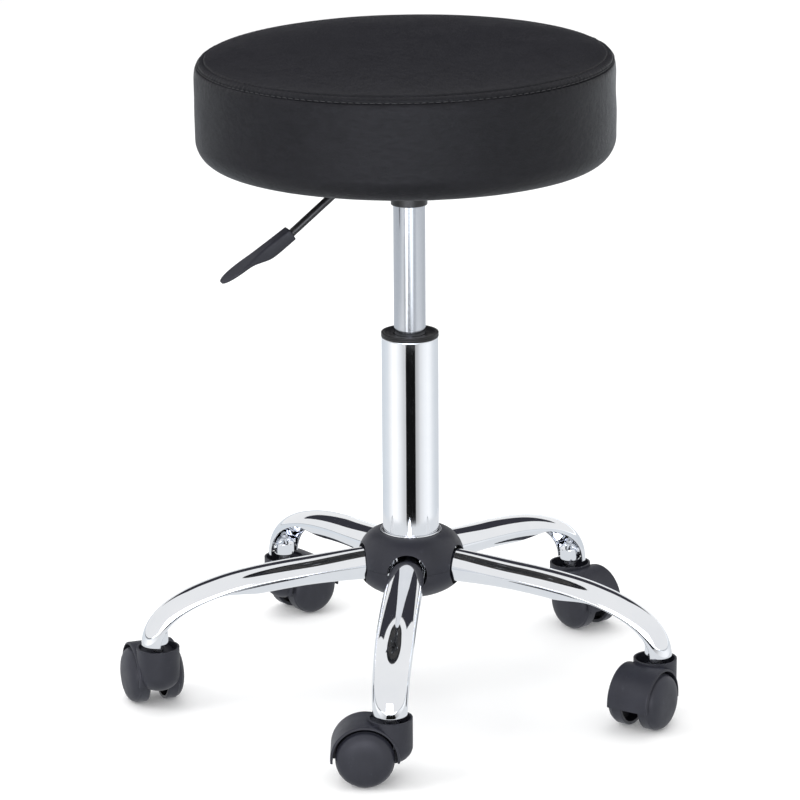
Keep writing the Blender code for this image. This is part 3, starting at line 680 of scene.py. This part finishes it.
def make_seat():
    soft_nodes = ("seat_cover", "seat_foam")
    cushion = add_piece("seat_cushion", cushion_mesh(), VINYL, "seat", STILL, soft_nodes)
    add_stitches()
    add_staples()


make_seat()

# ---------------- column

COLUMN_LOW, COLUMN_HIGH, COLUMN_RADIUS = round_box("outer_column")
PISTON_LOW, PISTON_HIGH, PISTON_RADIUS = round_box("gas_cylinder")
RECEIVER_LOW, RECEIVER_HIGH, RECEIVER_RADIUS = round_box("gas_receiver")
CAP_LOW, CAP_HIGH, CAP_RADIUS = round_box("column_cap")
HUB_LOW, HUB_HIGH, HUB_RADIUS = round_box("base_hub")


def make_column():
    wall = 1.6 * MM
    bore = COLUMN_RADIUS - wall
    column = [
        (COLUMN_RADIUS, COLUMN_HIGH.z),
        (COLUMN_RADIUS, COLUMN_LOW.z),
        (5.5 * MM, COLUMN_LOW.z),
        (5.5 * MM, COLUMN_LOW.z + 3 * MM),
        (bore, COLUMN_LOW.z + 3 * MM),
        (bore, COLUMN_HIGH.z),
    ]
    mesh = turned_mesh("outer_column", rounded(column, 0.5 * MM), 128)
    add_piece("column_tube", mesh, CHROME, "base", on_axis(), ("outer_column",))

    top = CAP_HIGH.z
    split = (CAP_LOW.z + top) / 2 + 0.2 * MM
    cap = [
        (CAP_RADIUS - 0.2 * MM, top),
        (CAP_RADIUS, top - 0.5 * MM),
        (CAP_RADIUS, split + 0.25 * MM),
        (CAP_RADIUS - 0.5 * MM, split),
        (CAP_RADIUS, split - 0.25 * MM),
        (CAP_RADIUS, CAP_LOW.z),
        (PISTON_RADIUS + 0.6 * MM, CAP_LOW.z),
        (PISTON_RADIUS + 0.6 * MM, top - 1.2 * MM),
        (PISTON_RADIUS + 2.2 * MM, top - 1.6 * MM),
        (COLUMN_RADIUS - 2.6 * MM, top - 0.8 * MM),
        (COLUMN_RADIUS - 1.8 * MM, top),
    ]
    mesh = turned_mesh("column_cap", rounded(cap, 0.25 * MM, 2), 128, 60)
    add_piece("cap_ring", mesh, BLACK_PLASTIC, "base", on_axis(), ("column_cap",))

    low = PISTON_LOW.z
    bore = PISTON_RADIUS - 1.8 * MM
    piston = [
        (0, PISTON_HIGH.z - 15 * MM),
        (3.3 * MM, PISTON_HIGH.z - 15 * MM),
        (3.3 * MM, PISTON_HIGH.z),
        (PISTON_RADIUS - 0.8 * MM, PISTON_HIGH.z),
        (PISTON_RADIUS, RECEIVER_LOW.z),
        (PISTON_RADIUS, low),
        (5.4 * MM, low),
        (5.4 * MM, low + 8 * MM),
        (bore, low + 8 * MM),
        (bore, PISTON_HIGH.z - 24 * MM),
        (0, PISTON_HIGH.z - 24 * MM),
    ]
    mesh = turned_mesh("gas_cylinder", rounded(piston, 0.5 * MM), 96)
    add_piece("piston_tube", mesh, STEEL, "seat", on_axis(), ("gas_cylinder",), "zinc_plate")

    receiver = [
        (RECEIVER_RADIUS, RECEIVER_HIGH.z),
        (RECEIVER_RADIUS, RECEIVER_LOW.z),
        (PISTON_RADIUS + 0.3 * MM, RECEIVER_LOW.z),
        (PISTON_RADIUS - 0.5 * MM, PISTON_HIGH.z),
        (PISTON_RADIUS - 0.5 * MM, RECEIVER_HIGH.z),
    ]
    mesh = turned_mesh("gas_receiver", rounded(receiver, 0.6 * MM), 96)
    add_piece("receiver_tube", mesh, PAINT, "seat", on_axis(), ("gas_receiver",))


make_column()

# ---------------- lever

PIVOT = Vector(joints["lever_pivot"]["pos_m"])
LEVER_DEGREES = math.degrees(math.atan2(PIVOT.y - AXIS.y, PIVOT.x - AXIS.x))
LEVER_HEIGHT = PIVOT.z
PIVOT_REACH = (Vector((PIVOT.x, PIVOT.y, 0)) - AXIS).length
ROD_RADIUS = 3.5 * MM
ROD_BEND_REACH = 53.3 * MM
ROD_SLOPE = 38.6
PADDLE_SLOPE = 33.5
PADDLE_START = 65 * MM
PADDLE_GRIP = 16 * MM


def lever_line():
    """The rod's centre line, and the way its outer end points."""
    slope = math.radians(ROD_SLOPE)
    bend_radius = 12 * MM
    bend_start = ROD_BEND_REACH - bend_radius * math.tan(slope / 2)
    points = [Vector((-5 * MM, 0, LEVER_HEIGHT))]
    for share in spread(0.0, 1.0, 13):
        angle = slope * share
        drop = bend_radius * (1 - math.cos(angle))
        points.append(Vector((bend_start + bend_radius * math.sin(angle), 0, LEVER_HEIGHT - drop)))
    along = Vector((math.cos(slope), 0, -math.sin(slope)))
    points.append(points[-1] + along * (PADDLE_START + PADDLE_GRIP))
    return points, along


def paddle_mesh():
    """A socket block that thins into a wide tongue with a dished top, eased all round."""
    sections = [
        (0.0, 7.0, 6.5, 5.2),
        (0.6, 7.0, 6.5, 5.2),
        (12.0, 7.1, 6.5, 5.9),
        (25.0, 7.2, 6.5, 6.6),
        (31.0, 7.7, 6.4, 4.9),
        (37.0, 8.5, 6.3, 2.4),
        (43.0, 9.7, 6.2, 0.0),
        (49.0, 10.6, 6.0, -0.9),
        (56.0, 11.0, 5.8, -1.3),
        (62.0, 10.4, 5.7, -1.6),
        (67.5, 8.7, 5.6, -1.9),
        (71.3, 6.2, 5.4, -2.2),
        (73.3, 3.2, 5.1, -2.6),
    ]
    work = bmesh.new()
    rings = []
    sides = 32
    for reach, half_width, rise, depth in sections:
        ring = []
        block = 1 - smoothstep(30, 45, reach)
        squareness = 0.80 - 0.22 * (1 - block)
        for step in range(sides):
            angle = TURN * (step + 0.5) / sides
            x, y = math.cos(angle), math.sin(angle)
            square = 1 / max(abs(x), abs(y)) ** squareness
            middle = (rise - depth) / 2
            half_height = (rise + depth) / 2
            dish = (1 - block) * 0.7 * max(y, 0) * (1 - min(x * x * 1.4, 1.0))
            height = middle + half_height * y * square - dish
            ring.append(work.verts.new(MM * Vector((reach, half_width * x * square, height))))
        rings.append(ring)
    skin(work, rings)
    for ring, outward in ((rings[0], -1), (rings[-1], 1)):
        middle = sum((vert.co for vert in ring), Vector()) / len(ring)
        bulge = Vector((outward * 0.4 * MM, 0, 0))
        inner = [work.verts.new(vert.co.lerp(middle, 0.25) + bulge) for vert in ring]
        bridge(work, ring, inner)
        work.faces.new(inner)
    return finished_mesh(work, "paddle", 180)


def subdivided(name, mesh, levels):
    """The mesh after a subdivision surface."""
    work = new_object(name, mesh)
    smoother = work.modifiers.new("smoother", "SUBSURF")
    smoother.levels = levels
    smoother.render_levels = levels
    return applied(name, work)


def make_lever():
    place = on_axis() @ turn(LEVER_DEGREES) @ moved(0.7 * MM, 0, -1.3 * MM)
    points, along = lever_line()
    work = bmesh.new()
    add_bar(work, points, [ROD_RADIUS] * len(points), 40)
    rod = finished_mesh(work, "lever_rod", 50)
    pin_hole = rod_mesh("pin_hole", 1.8 * MM, -10 * MM, 10 * MM, 24)
    pivot = moved(PIVOT_REACH, 0, LEVER_HEIGHT) @ ALONG_Y
    rod = cut_mesh("lever_rod", rod, [("DIFFERENCE", pin_hole, pivot)], 0.3 * MM)
    add_piece("lever_bar", rod, PAINT, "lever", place, ("lever_rod",))

    mouth = points[-1] - along * PADDLE_GRIP
    bore = rod_mesh("rod_bore", ROD_RADIUS + 0.3 * MM, -10 * MM, PADDLE_GRIP + 0.3 * MM, 40)
    block = subdivided("paddle", paddle_mesh(), 2)
    cut = ("DIFFERENCE", bore, turn(ROD_SLOPE - PADDLE_SLOPE, "Y") @ ALONG_X)
    paddle = cut_mesh("lever_paddle", block, [cut])
    tilt = Matrix.Translation(mouth) @ turn(PADDLE_SLOPE, "Y")
    add_piece("lever_blade", paddle, GREY_PLASTIC, "lever", place @ tilt, ("lever_paddle",))


make_lever()

# ---------------- base

COVER_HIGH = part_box("hub_cover_upper")[1]
COVER_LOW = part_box("hub_cover_lower")[0]
COVER_RADIUS = COVER_HIGH.x - AXIS.x
COVER_SPLIT = (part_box("hub_cover_upper")[0].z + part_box("hub_cover_lower")[1].z) / 2
STEMS = [Vector(joints[f"caster_swivel_{n}"]["pos_m"]) for n in range(1, 6)]
LEG_DEGREES = [math.degrees(math.atan2(stem.y - AXIS.y, stem.x - AXIS.x)) for stem in STEMS]
STEM_CIRCLE = (Vector((STEMS[0].x, STEMS[0].y, 0)) - AXIS).length
LEG_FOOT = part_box("leg_1")[0].z
LEG_WALL = 1.5 * MM
LEG_SHOULDER = Vector((150 * MM, 109.2 * MM))
LEG_END = Vector((STEM_CIRCLE, LEG_FOOT))
LEG_HOLE_RADIUS = 17.5 * MM


def leg_holes():
    hole = rod_mesh("leg_hole", LEG_HOLE_RADIUS, 34 * MM, 60 * MM, 64)
    place = moved(0, 0, COVER_SPLIT + 0.5 * MM) @ ALONG_X
    return [("DIFFERENCE", hole, turn(degrees) @ place) for degrees in LEG_DEGREES]


def make_hub():
    bore = COLUMN_RADIUS + 0.6 * MM
    tube = [(HUB_RADIUS, HUB_HIGH.z), (HUB_RADIUS, HUB_LOW.z), (bore, HUB_LOW.z), (bore, HUB_HIGH.z)]
    mesh = turned_mesh("base_hub", rounded(tube, 0.4 * MM), 128)
    add_piece("hub_tube", mesh, CHROME, "base", on_axis(), ("base_hub",))

    opening = HUB_RADIUS + 0.3 * MM
    shoulder = 121 * MM
    heel = 112 * MM
    wall = 2 * MM
    reach = COVER_RADIUS - opening
    rise = COVER_HIGH.z - shoulder
    outside = arc((opening, shoulder), (reach, rise), 90, 0, 24)
    inside = arc((opening, shoulder), (reach - wall, rise - wall), 0, 90, 16)
    split = COVER_SPLIT + 0.1 * MM
    upper = outside + [(COVER_RADIUS, split), (COVER_RADIUS - wall, split)] + inside
    mesh = cut_mesh("hub_cover_upper", turned_mesh("upper", upper, 120), leg_holes(), 0.7 * MM, 3)
    add_piece("hub_cap", mesh, GREY_PLASTIC, "base", on_axis(), ("hub_cover_upper",))

    drain = 6 * MM
    depth = heel - COVER_LOW.z
    outside = arc((0, heel), (COVER_RADIUS, depth), 0, -82, 20)
    inside = arc((0, heel), (COVER_RADIUS - wall, depth - wall), -82, 0, 16)
    rim = [(drain, outside[-1][1]), (drain, inside[0][1])]
    split = COVER_SPLIT - 0.1 * MM
    lower = [(COVER_RADIUS, split)] + outside + rim + inside + [(COVER_RADIUS - wall, split)]
    mesh = cut_mesh("hub_cover_lower", turned_mesh("lower", lower, 120), leg_holes(), 0.7 * MM, 3)
    add_piece("hub_bowl", mesh, GREY_PLASTIC, "base", on_axis(), ("hub_cover_lower",))


def bezier(corners, share):
    a, b, c, d = corners
    rest = 1 - share
    return rest**3 * a + 3 * rest**2 * share * b + 3 * rest * share**2 * c + share**3 * d


def direction(degrees_down):
    angle = math.radians(degrees_down)
    return Vector((math.cos(angle), -math.sin(angle)))


def leg_line(share):
    """The leg's centre line as (reach, height): a long gentle arch, then a bend down to the caster."""
    start = Vector((HUB_RADIUS + 0.3 * MM, 119.1 * MM))
    if share < 0.5:
        near = LEG_SHOULDER - 40 * MM * direction(10)
        return bezier((start, start + 40 * MM * direction(2), near, LEG_SHOULDER), share * 2)
    near = LEG_SHOULDER + 45 * MM * direction(10)
    return bezier((LEG_SHOULDER, near, LEG_END - 25 * MM * direction(88), LEG_END), share * 2 - 1)


def leg_section(share):
    """Half width, half height, and how far the tube is open underneath in degrees from straight down."""
    near = min(share / 0.30, 1.0)
    far = max((share - 0.62) / 0.38, 0.0)
    half_width = 15.0 + 2.0 * smoothstep(0, 1, near) - 2.2 * far
    half_height = 14.8 - 2.5 * smoothstep(0, 1, near) + 2.4 * far
    opening = 4.0 + 86.0 * smoothstep(0.0, 1.0, (share - 0.34) / 0.28)
    return half_width * MM, half_height * MM, opening


def leg_mesh(stations=72, arc_points=44):
    """A pressed tube with its seam underneath, which opens into a half shell over the caster."""
    work = bmesh.new()
    rings = []
    for station in range(stations):
        share = 1 - (1 - station / (stations - 1)) ** 1.25
        place = leg_line(share)
        ahead = leg_line(min(share + 0.01, 1.0)) - leg_line(max(share - 0.01, 0.0))
        up = Vector((-ahead.y, ahead.x)).normalized()
        up = up.lerp(Vector((0.0, 1.0)), 1 - smoothstep(0, 0.06, share)).normalized()
        up = up.lerp(Vector((1.0, 0.0)), smoothstep(0.94, 1.0, share)).normalized()
        half_width, half_height, opening = leg_section(share)
        spread_angle = math.radians(180 - opening)
        ring = []
        for wall, order in ((0.0, range(arc_points)), (LEG_WALL, reversed(range(arc_points)))):
            for step in order:
                angle = spread_angle * (2 * step / (arc_points - 1) - 1)
                side = (half_width - wall) * math.sin(angle)
                rise = (half_height - wall) * math.cos(angle)
                point = place + rise * up
                ring.append(work.verts.new((point.x, side, point.y)))
        rings.append(ring)
    skin(work, rings)
    for ring in (rings[0], rings[-1]):
        outer = ring[:arc_points]
        inner = ring[arc_points:][::-1]
        for a in range(arc_points - 1):
            work.faces.new((outer[a], outer[a + 1], inner[a + 1], inner[a]))
    mesh = finished_mesh(work, "leg")
    return cut_mesh("leg", mesh, [], 0.35 * MM)


def socket_mesh():
    """The caster's sleeve under the leg: a short tube with two lugs and a swaged neck."""
    outline = in_metres((4.0, 75.2), (6.2, 74.2), (9.3, 70.0))
    outline += [(9.3 * MM, LEG_FOOT), (5.8 * MM, LEG_FOOT)]
    outline += in_metres((5.8, 72.0), (4.0, 74.0))
    sleeve = turned_mesh("sleeve", rounded(outline, 0.8 * MM), 64)
    lugs = []
    for side in (-1, 1):
        low = (-1 * MM, min(side * 8.0, side * 11.8) * MM, 66 * MM)
        high = (1 * MM, max(side * 8.0, side * 11.8) * MM, 71.5 * MM)
        lugs.append(("UNION", box_mesh("lug", low, high), STILL))
    return cut_mesh("socket", sleeve, lugs, 0.2 * MM)


def stem_mesh():
    """The stem: a grip ring in the socket, a waist and a domed tip above."""
    tip = ((0, 80.0), (1.4, 79.8), (2.6, 79.1), (3.5, 77.6), (3.6, 76.5), (3.6, 73.8))
    grip = ((5.5, 71.8), (5.5, 53.0), (4.5, 52.0), (4.5, 35.0), (0, 35.0))
    outline = in_metres(*tip, *grip)
    return turned_mesh("stem", rounded(outline, 0.3 * MM), 48)


def make_legs():
    leg = leg_mesh()
    socket = socket_mesh()
    stem = stem_mesh()
    for n, (degrees, foot) in enumerate(zip(LEG_DEGREES, STEMS), 1):
        spoke = on_axis() @ turn(degrees)
        place = moved(foot.x, foot.y) @ turn(degrees)
        add_piece(f"leg_tube_{n}", leg, CHROME, "base", spoke, (f"leg_{n}",))
        add_piece(f"leg_socket_{n}", socket, CHROME, "base", place, (f"caster_socket_{n}",))
        add_piece(f"stem_{n}", stem, ZINC, "base", moved(foot.x, foot.y), (f"caster_stem_{n}",))


make_hub()
make_legs()

# ---------------- casters

WHEEL_RADIUS = 25 * MM
TREAD_INNER = 8.2 * MM
TREAD_END = 18 * MM
DOME_DEPTH = 8.2 * MM
TRAIL = 21 * MM
HOOD_RADIUS = 29.3 * MM
HOOD_HALF_WIDTH = 19.8 * MM
HOOD_LIP = 22 * MM
WELL_RADIUS = 27.3 * MM
WEB_HALF_WIDTH = 7.4 * MM
CUP_RADIUS = 19 * MM
CUP_TOP = 56 * MM
CUP_WALL = 1.8 * MM


def wheel_mesh():
    """A wheel on +Y: a flat tread with eased edges, and a full dome set in behind a fine step."""
    dome = []
    widest = WHEEL_RADIUS - 0.9 * MM
    for degrees in spread(90, 6, 22):
        angle = math.radians(degrees)
        dome.append((widest * math.cos(angle) ** 0.62, TREAD_END + DOME_DEPTH * math.sin(angle)))
    dome[0] = (0, dome[0][1])
    rim = [
        (WHEEL_RADIUS - 0.7 * MM, TREAD_END + 0.2 * MM),
        (WHEEL_RADIUS - 0.15 * MM, TREAD_END - 0.3 * MM),
        (WHEEL_RADIUS, TREAD_END - 1.4 * MM),
        (WHEEL_RADIUS, TREAD_INNER + 0.6 * MM),
        (WHEEL_RADIUS - 0.5 * MM, TREAD_INNER),
    ]
    bore = 3.3 * MM
    inside = rounded(
        [
            (22.5 * MM, TREAD_INNER),
            (22.0 * MM, TREAD_END - 1 * MM),
            (15.0 * MM, TREAD_END + DOME_DEPTH - 5 * MM),
            (6.2 * MM, TREAD_END + DOME_DEPTH - 3.5 * MM),
            (6.2 * MM, TREAD_INNER),
            (bore, TREAD_INNER),
            (bore, TREAD_END + DOME_DEPTH - 4 * MM),
            (0, TREAD_END + DOME_DEPTH - 4 * MM),
        ],
        0.5 * MM,
    )
    mesh = turned_mesh("wheel", dome + rim + inside, 96, 34)
    mesh.transform(ALONG_Y)
    return mesh


def hood_mesh():
    """The cup at the stem, the fender over both wheels, a web between them, and ribs in the cup."""
    axle = moved(TRAIL, 0, WHEEL_RADIUS) @ ALONG_Y
    half = HOOD_HALF_WIDTH
    bottom = arc((0, 31 * MM), (CUP_RADIUS, 15 * MM), 0, -90, 18)
    cup = turned_mesh("cup", [(0, CUP_TOP), (CUP_RADIUS, CUP_TOP)] + bottom, 80)
    edge = 1.5 * MM
    outline = [(0, half)] + arc((HOOD_RADIUS - edge, half - edge), (edge, edge), 90, 0, 5)
    outline += arc((HOOD_RADIUS - edge, edge - half), (edge, edge), 0, -90, 5) + [(0, -half)]
    fender = turned_mesh("fender", outline, 112)
    below = box_mesh("below", (-30 * MM, -30 * MM, -10 * MM), (60 * MM, 30 * MM, HOOD_LIP))
    fender = cut_mesh("fender", fender, [("DIFFERENCE", below, axle.inverted())])
    hollow = rod_mesh("hollow", CUP_RADIUS - CUP_WALL, HOOD_LIP + 10 * MM, CUP_TOP + 10 * MM, 72)
    core = rod_mesh("core", HOOD_RADIUS - 0.3 * MM, -half - 10 * MM, half + 10 * MM, 104)
    cavity = cut_mesh("cavity", hollow, [("DIFFERENCE", core, axle)])
    steps = [("UNION", fender, axle), ("DIFFERENCE", cavity, STILL)]
    for side in (-1, 1):
        near, far = side * (WEB_HALF_WIDTH - 0.3 * MM), side * (half + 10 * MM)
        well = rod_mesh("well", WELL_RADIUS, min(near, far), max(near, far), 96)
        steps.append(("DIFFERENCE", well, axle))
    steps.append(("UNION", rod_mesh("web", 11.5 * MM, -WEB_HALF_WIDTH, WEB_HALF_WIDTH, 48), axle))
    steps.append(("UNION", rod_mesh("boss", 7.8 * MM, 34 * MM, 50 * MM, 48), STILL))
    for degrees in range(100, 280, 20):
        rib = box_mesh("rib", (6 * MM, -0.5 * MM, 34 * MM), (CUP_RADIUS - 1 * MM, 0.5 * MM, 47 * MM))
        steps.append(("UNION", rib, turn(degrees)))
    steps.append(("DIFFERENCE", rod_mesh("stem_hole", 4.8 * MM, 34.5 * MM, 80 * MM, 32), STILL))
    steps.append(("DIFFERENCE", rod_mesh("axle_hole", 3.3 * MM, -20 * MM, 20 * MM, 32), axle))
    return cut_mesh("hood", cup, steps, 0.45 * MM)


def make_casters():
    hood = hood_mesh()
    wheel = wheel_mesh()
    for n, foot in enumerate(STEMS, 1):
        hub = Vector(joints[f"left_wheel_spin_{n}"]["pos_m"])
        heading = math.degrees(math.atan2(hub.y - foot.y, hub.x - foot.x))
        place = moved(foot.x, foot.y) @ turn(heading)
        add_piece(f"hood_{n}", hood, GREY_PLASTIC, f"caster_{n}", place, (f"caster_hood_{n}",))
        wheel_place = moved(hub.x, hub.y, hub.z) @ turn(heading)
        for side, facing in (("left", 0), ("right", 180)):
            body = f"{side}_wheel_{n}"
            spot = wheel_place @ turn(facing)
            add_piece(f"{side}_roller_{n}", wheel, GREY_PLASTIC, body, spot, (f"wheel_{side}_{n}",))


make_casters()

# ---------------- CAD nodes that are shown as they are

KEPT = {"seat_board": PLYWOOD, "seat_plate": PAINT}
KEPT.update({"guide_bushing": BLACK_PLASTIC, "rubber_bumper": RUBBER})
ZINC_NODES = ["lever_pivot_pin", "piston_rod", "thrust_bearing", "retaining_clip", "release_pin"]
ZINC_NODES += [f"seat_bolt_{n}" for n in range(1, 5)] + [f"caster_axle_{n}" for n in range(1, 6)]
KEPT.update({name: ZINC for name in ZINC_NODES})
for name, look in KEPT.items():
    node = frame["nodes"][name]
    node.data.materials.clear()
    node.data.materials.append(look)
ease = frame["nodes"]["seat_plate"].modifiers.new("ease", "BEVEL")
ease.width = 0.5 * MM
ease.segments = 2
ease.limit_method = "ANGLE"

# ---------------- studio

TO_CAMERA = -90  # the heading of the camera, where its right is 0
LIGHT_AIM = 0.3
LENS_MM = 165.07
CAMERA_HEIGHT = 1.159821
CAMERA_DISTANCE = 3.101328


def add_camera():
    data = bpy.data.cameras.new("camera")
    data.sensor_width = 36
    data.lens = LENS_MM
    data.clip_end = 30
    camera = new_object("camera", data)
    forward = Vector((-0.00279, 0.960862, -0.277014))
    right = Vector((0.999981, 0.001163, -0.006037))
    up = right.cross(forward)
    base = Matrix((right, up, -forward)).transposed().to_4x4()
    place = moved(0, -CAMERA_DISTANCE, CAMERA_HEIGHT) @ base
    camera.matrix_world = on_axis() @ Matrix.Rotation(VIEW_TURN, 4, "Z") @ place
    bpy.context.scene.camera = camera


def add_floor():
    work = bmesh.new()
    bmesh.ops.create_grid(work, x_segments=4, y_segments=4, size=9)
    mesh = finished_mesh(work, "floor")
    mesh.materials.append(floor_look())
    floor = new_object("floor", mesh)
    floor.location = (0, 0, -0.2 * MM)


def from_axis(heading, distance, height):
    """A place at a heading from the camera's right, in degrees, round the column."""
    return AXIS + around(distance, VIEW_TURN + math.radians(heading), height)


def add_panel(name, heading, distance, height, size, strength):
    """A soft light that faces the stool."""
    data = bpy.data.lights.new(name, "AREA")
    data.shape = "RECTANGLE"
    data.size, data.size_y = size
    data.energy = strength
    lamp = new_object(name, data)
    lamp.location = from_axis(heading, distance, height)
    target = AXIS + Vector((0, 0, LIGHT_AIM))
    lamp.rotation_mode = "QUATERNION"
    lamp.rotation_quaternion = (target - lamp.location).to_track_quat("-Z", "Y")
    lamp.visible_glossy = False


def card_object(name, mesh, tree_of_colour):
    """A glowing card that only shiny surfaces see, which paints a reflection: a dark flag, a bright
    glow, the graded ring on the floor.
    """
    material = bpy.data.materials.new(name)
    material.use_nodes = True
    tree = material.node_tree
    tree.nodes.remove(tree.nodes["Principled BSDF"])
    glow = tree.nodes.new("ShaderNodeEmission")
    tree.links.new(glow.outputs[0], tree.nodes["Material Output"].inputs["Surface"])
    tree_of_colour(tree, glow)
    mesh.materials.append(material)
    card = new_object(name, mesh)
    for sight in ("camera", "diffuse", "shadow", "transmission", "volume_scatter"):
        setattr(card, "visible_" + sight, False)


def standing_card(name, heading, distance, half_width, low, high, colour):
    middle = from_axis(heading, distance, 0)
    side = from_axis(heading + 90, 1, 0) - AXIS
    work = bmesh.new()
    corners = [(-1, low), (1, low), (1, high), (-1, high)]
    points = [middle + side * half_width * a + Vector((0, 0, h)) for a, h in corners]
    work.faces.new([work.verts.new(point) for point in points])

    def plain(tree, glow):
        glow.inputs["Color"].default_value = (*colour, 1)

    card_object(name, finished_mesh(work, name), plain)


# Painted reflections: what shiny surfaces see of the floor. Each row holds an angle in degrees from the
# camera's heading (to the right is positive), the brightness there, and how blue it is against red.
NEAR_SHADES = ((-180, 0.80, 1.05), (180, 0.80, 1.05))
COLUMN_SHADES = (
    (-180, 0.68, 1.13), (-133, 0.72, 1.13), (-102, 0.82, 1.09), (-90, 0.97, 1.02),
    (-75, 1.18, 1.0), (-58, 1.18, 1.0), (-42, 0.97, 1.02), (-25, 0.69, 1.02),
    (-18.5, 0.68, 1.0), (-16.5, 0.007, 1.0), (19.5, 0.007, 1.0), (21.5, 0.48, 1.0),
    (32, 0.64, 1.02), (40, 0.84, 1.02), (58, 1.02, 1.03), (75, 1.11, 1.02),
    (88, 1.04, 1.03), (100, 0.89, 1.05), (115, 0.77, 1.09), (134, 0.72, 1.09),
    (180, 0.68, 1.10),
)
PISTON_SHADES = (
    (-180, 0.93, 1.10), (-72, 0.93, 1.08), (-52, 1.25, 1.03), (-44, 1.20, 1.0),
    (-36, 0.72, 1.0), (-29, 0.72, 1.0), (-25, 3.6, 1.0), (-17, 3.6, 1.0),
    (-12, 0.80, 1.0), (-2, 0.80, 1.05), (6, 1.5, 1.05), (14, 2.7, 1.05),
    (21, 2.2, 1.06), (29, 0.80, 1.08), (39, 0.80, 1.08), (52, 1.28, 1.05),
    (64, 1.24, 1.05), (95, 1.08, 1.05), (122, 0.93, 1.06), (180, 0.93, 1.10),
)
SEAT_SHADES = (
    (-180, 0.40, 1.1), (-130, 0.35, 1.1), (-100, 0.05, 1.1), (-58, 0.05, 1.1),
    (-34, 2.2, 1.12), (-5, 4.2, 1.12), (20, 2.4, 1.12), (45, 0.35, 1.1),
    (65, 0.16, 1.1), (100, 0.3, 1.1), (135, 0.75, 1.1), (180, 0.75, 1.1),
)
FLOOR_RINGS = (
    (0.0, NEAR_SHADES, 1.0),
    (0.505, NEAR_SHADES, 1.0),
    (0.52, COLUMN_SHADES, 1.0),
    (1.24, COLUMN_SHADES, 1.0),
    (1.28, PISTON_SHADES, 0.80),
    (2.1, PISTON_SHADES, 0.80),
    (2.4, SEAT_SHADES, 1.2),
    (4.0, SEAT_SHADES, 2.4),
    (9.0, SEAT_SHADES, 2.4),
)


def shade_at(shades, degrees):
    for (low, *first), (high, *second) in zip(shades, shades[1:]):
        if low <= degrees <= high:
            share = (degrees - low) / (high - low)
            shade, blue = (a + (b - a) * share for a, b in zip(first, second))
            return shade, shade * (1 + blue) / 2, shade * blue


def painted_floor_reflection():
    """A painted reflection: a glowing graded ring on the floor, seen only by shiny surfaces, that the
    column, the legs and the seat reflect.
    """
    steps = 720
    work = bmesh.new()
    layer = work.loops.layers.float_color.new("shade")
    rings = []
    for radius, _, _ in FLOOR_RINGS:
        places = [from_axis(TO_CAMERA + 360 * step / steps, radius, 0.3 * MM) for step in range(steps)]
        rings.append([work.verts.new(place) for place in places])
    for band, (first, second) in enumerate(zip(rings, rings[1:])):
        for a in range(steps):
            b = (a + 1) % steps
            face = work.faces.new((first[a], second[a], second[b], first[b]))
            corners = ((a, band), (a, band + 1), (a + 1, band + 1), (a + 1, band))
            for loop, (corner, row) in zip(face.loops, corners):
                degrees = corner * 360 / steps
                degrees -= 360 * (degrees > 180)
                _, shades, strength = FLOOR_RINGS[row]
                loop[layer] = (*(strength * value for value in shade_at(shades, degrees)), 1)
    mesh = bpy.data.meshes.new("painted_floor_reflection")
    work.to_mesh(mesh)
    work.free()

    def shaded(tree, glow):
        shade = tree.nodes.new("ShaderNodeVertexColor")
        shade.layer_name = "shade"
        tree.links.new(shade.outputs["Color"], glow.inputs["Color"])

    card_object("painted_floor_reflection", mesh, shaded)


def add_world():
    world = bpy.data.worlds.new("studio")
    world.use_nodes = True
    background = world.node_tree.nodes["Background"]
    background.inputs["Color"].default_value = (1.0, 1.0, 1.0, 1)
    background.inputs["Strength"].default_value = 0.92
    bpy.context.scene.world = world


add_camera()
add_floor()
add_world()
add_panel("front", -100, 2.3, 1.5, (0.9, 0.9), 8)
add_panel("left", 195, 1.7, 1.5, (1.0, 1.4), 14)
add_panel("top", 90, 0.8, 2.6, (2.8, 2.8), 34)
painted_floor_reflection()
# Painted reflections: a dim card behind the stool darkens what the seat top reflects, and a bright card
# behind the camera puts a painted highlight on the front of the seat's side.
standing_card("back_flag", 90, 1.6, 1.3, 0.60, 1.75, (0.04, 0.04, 0.05))
standing_card("front_glow", -94, 4.2, 1.5, 0.05, 1.7, (4.0, 4.0, 4.5))
bpy.context.scene.view_settings.view_transform = "Standard"
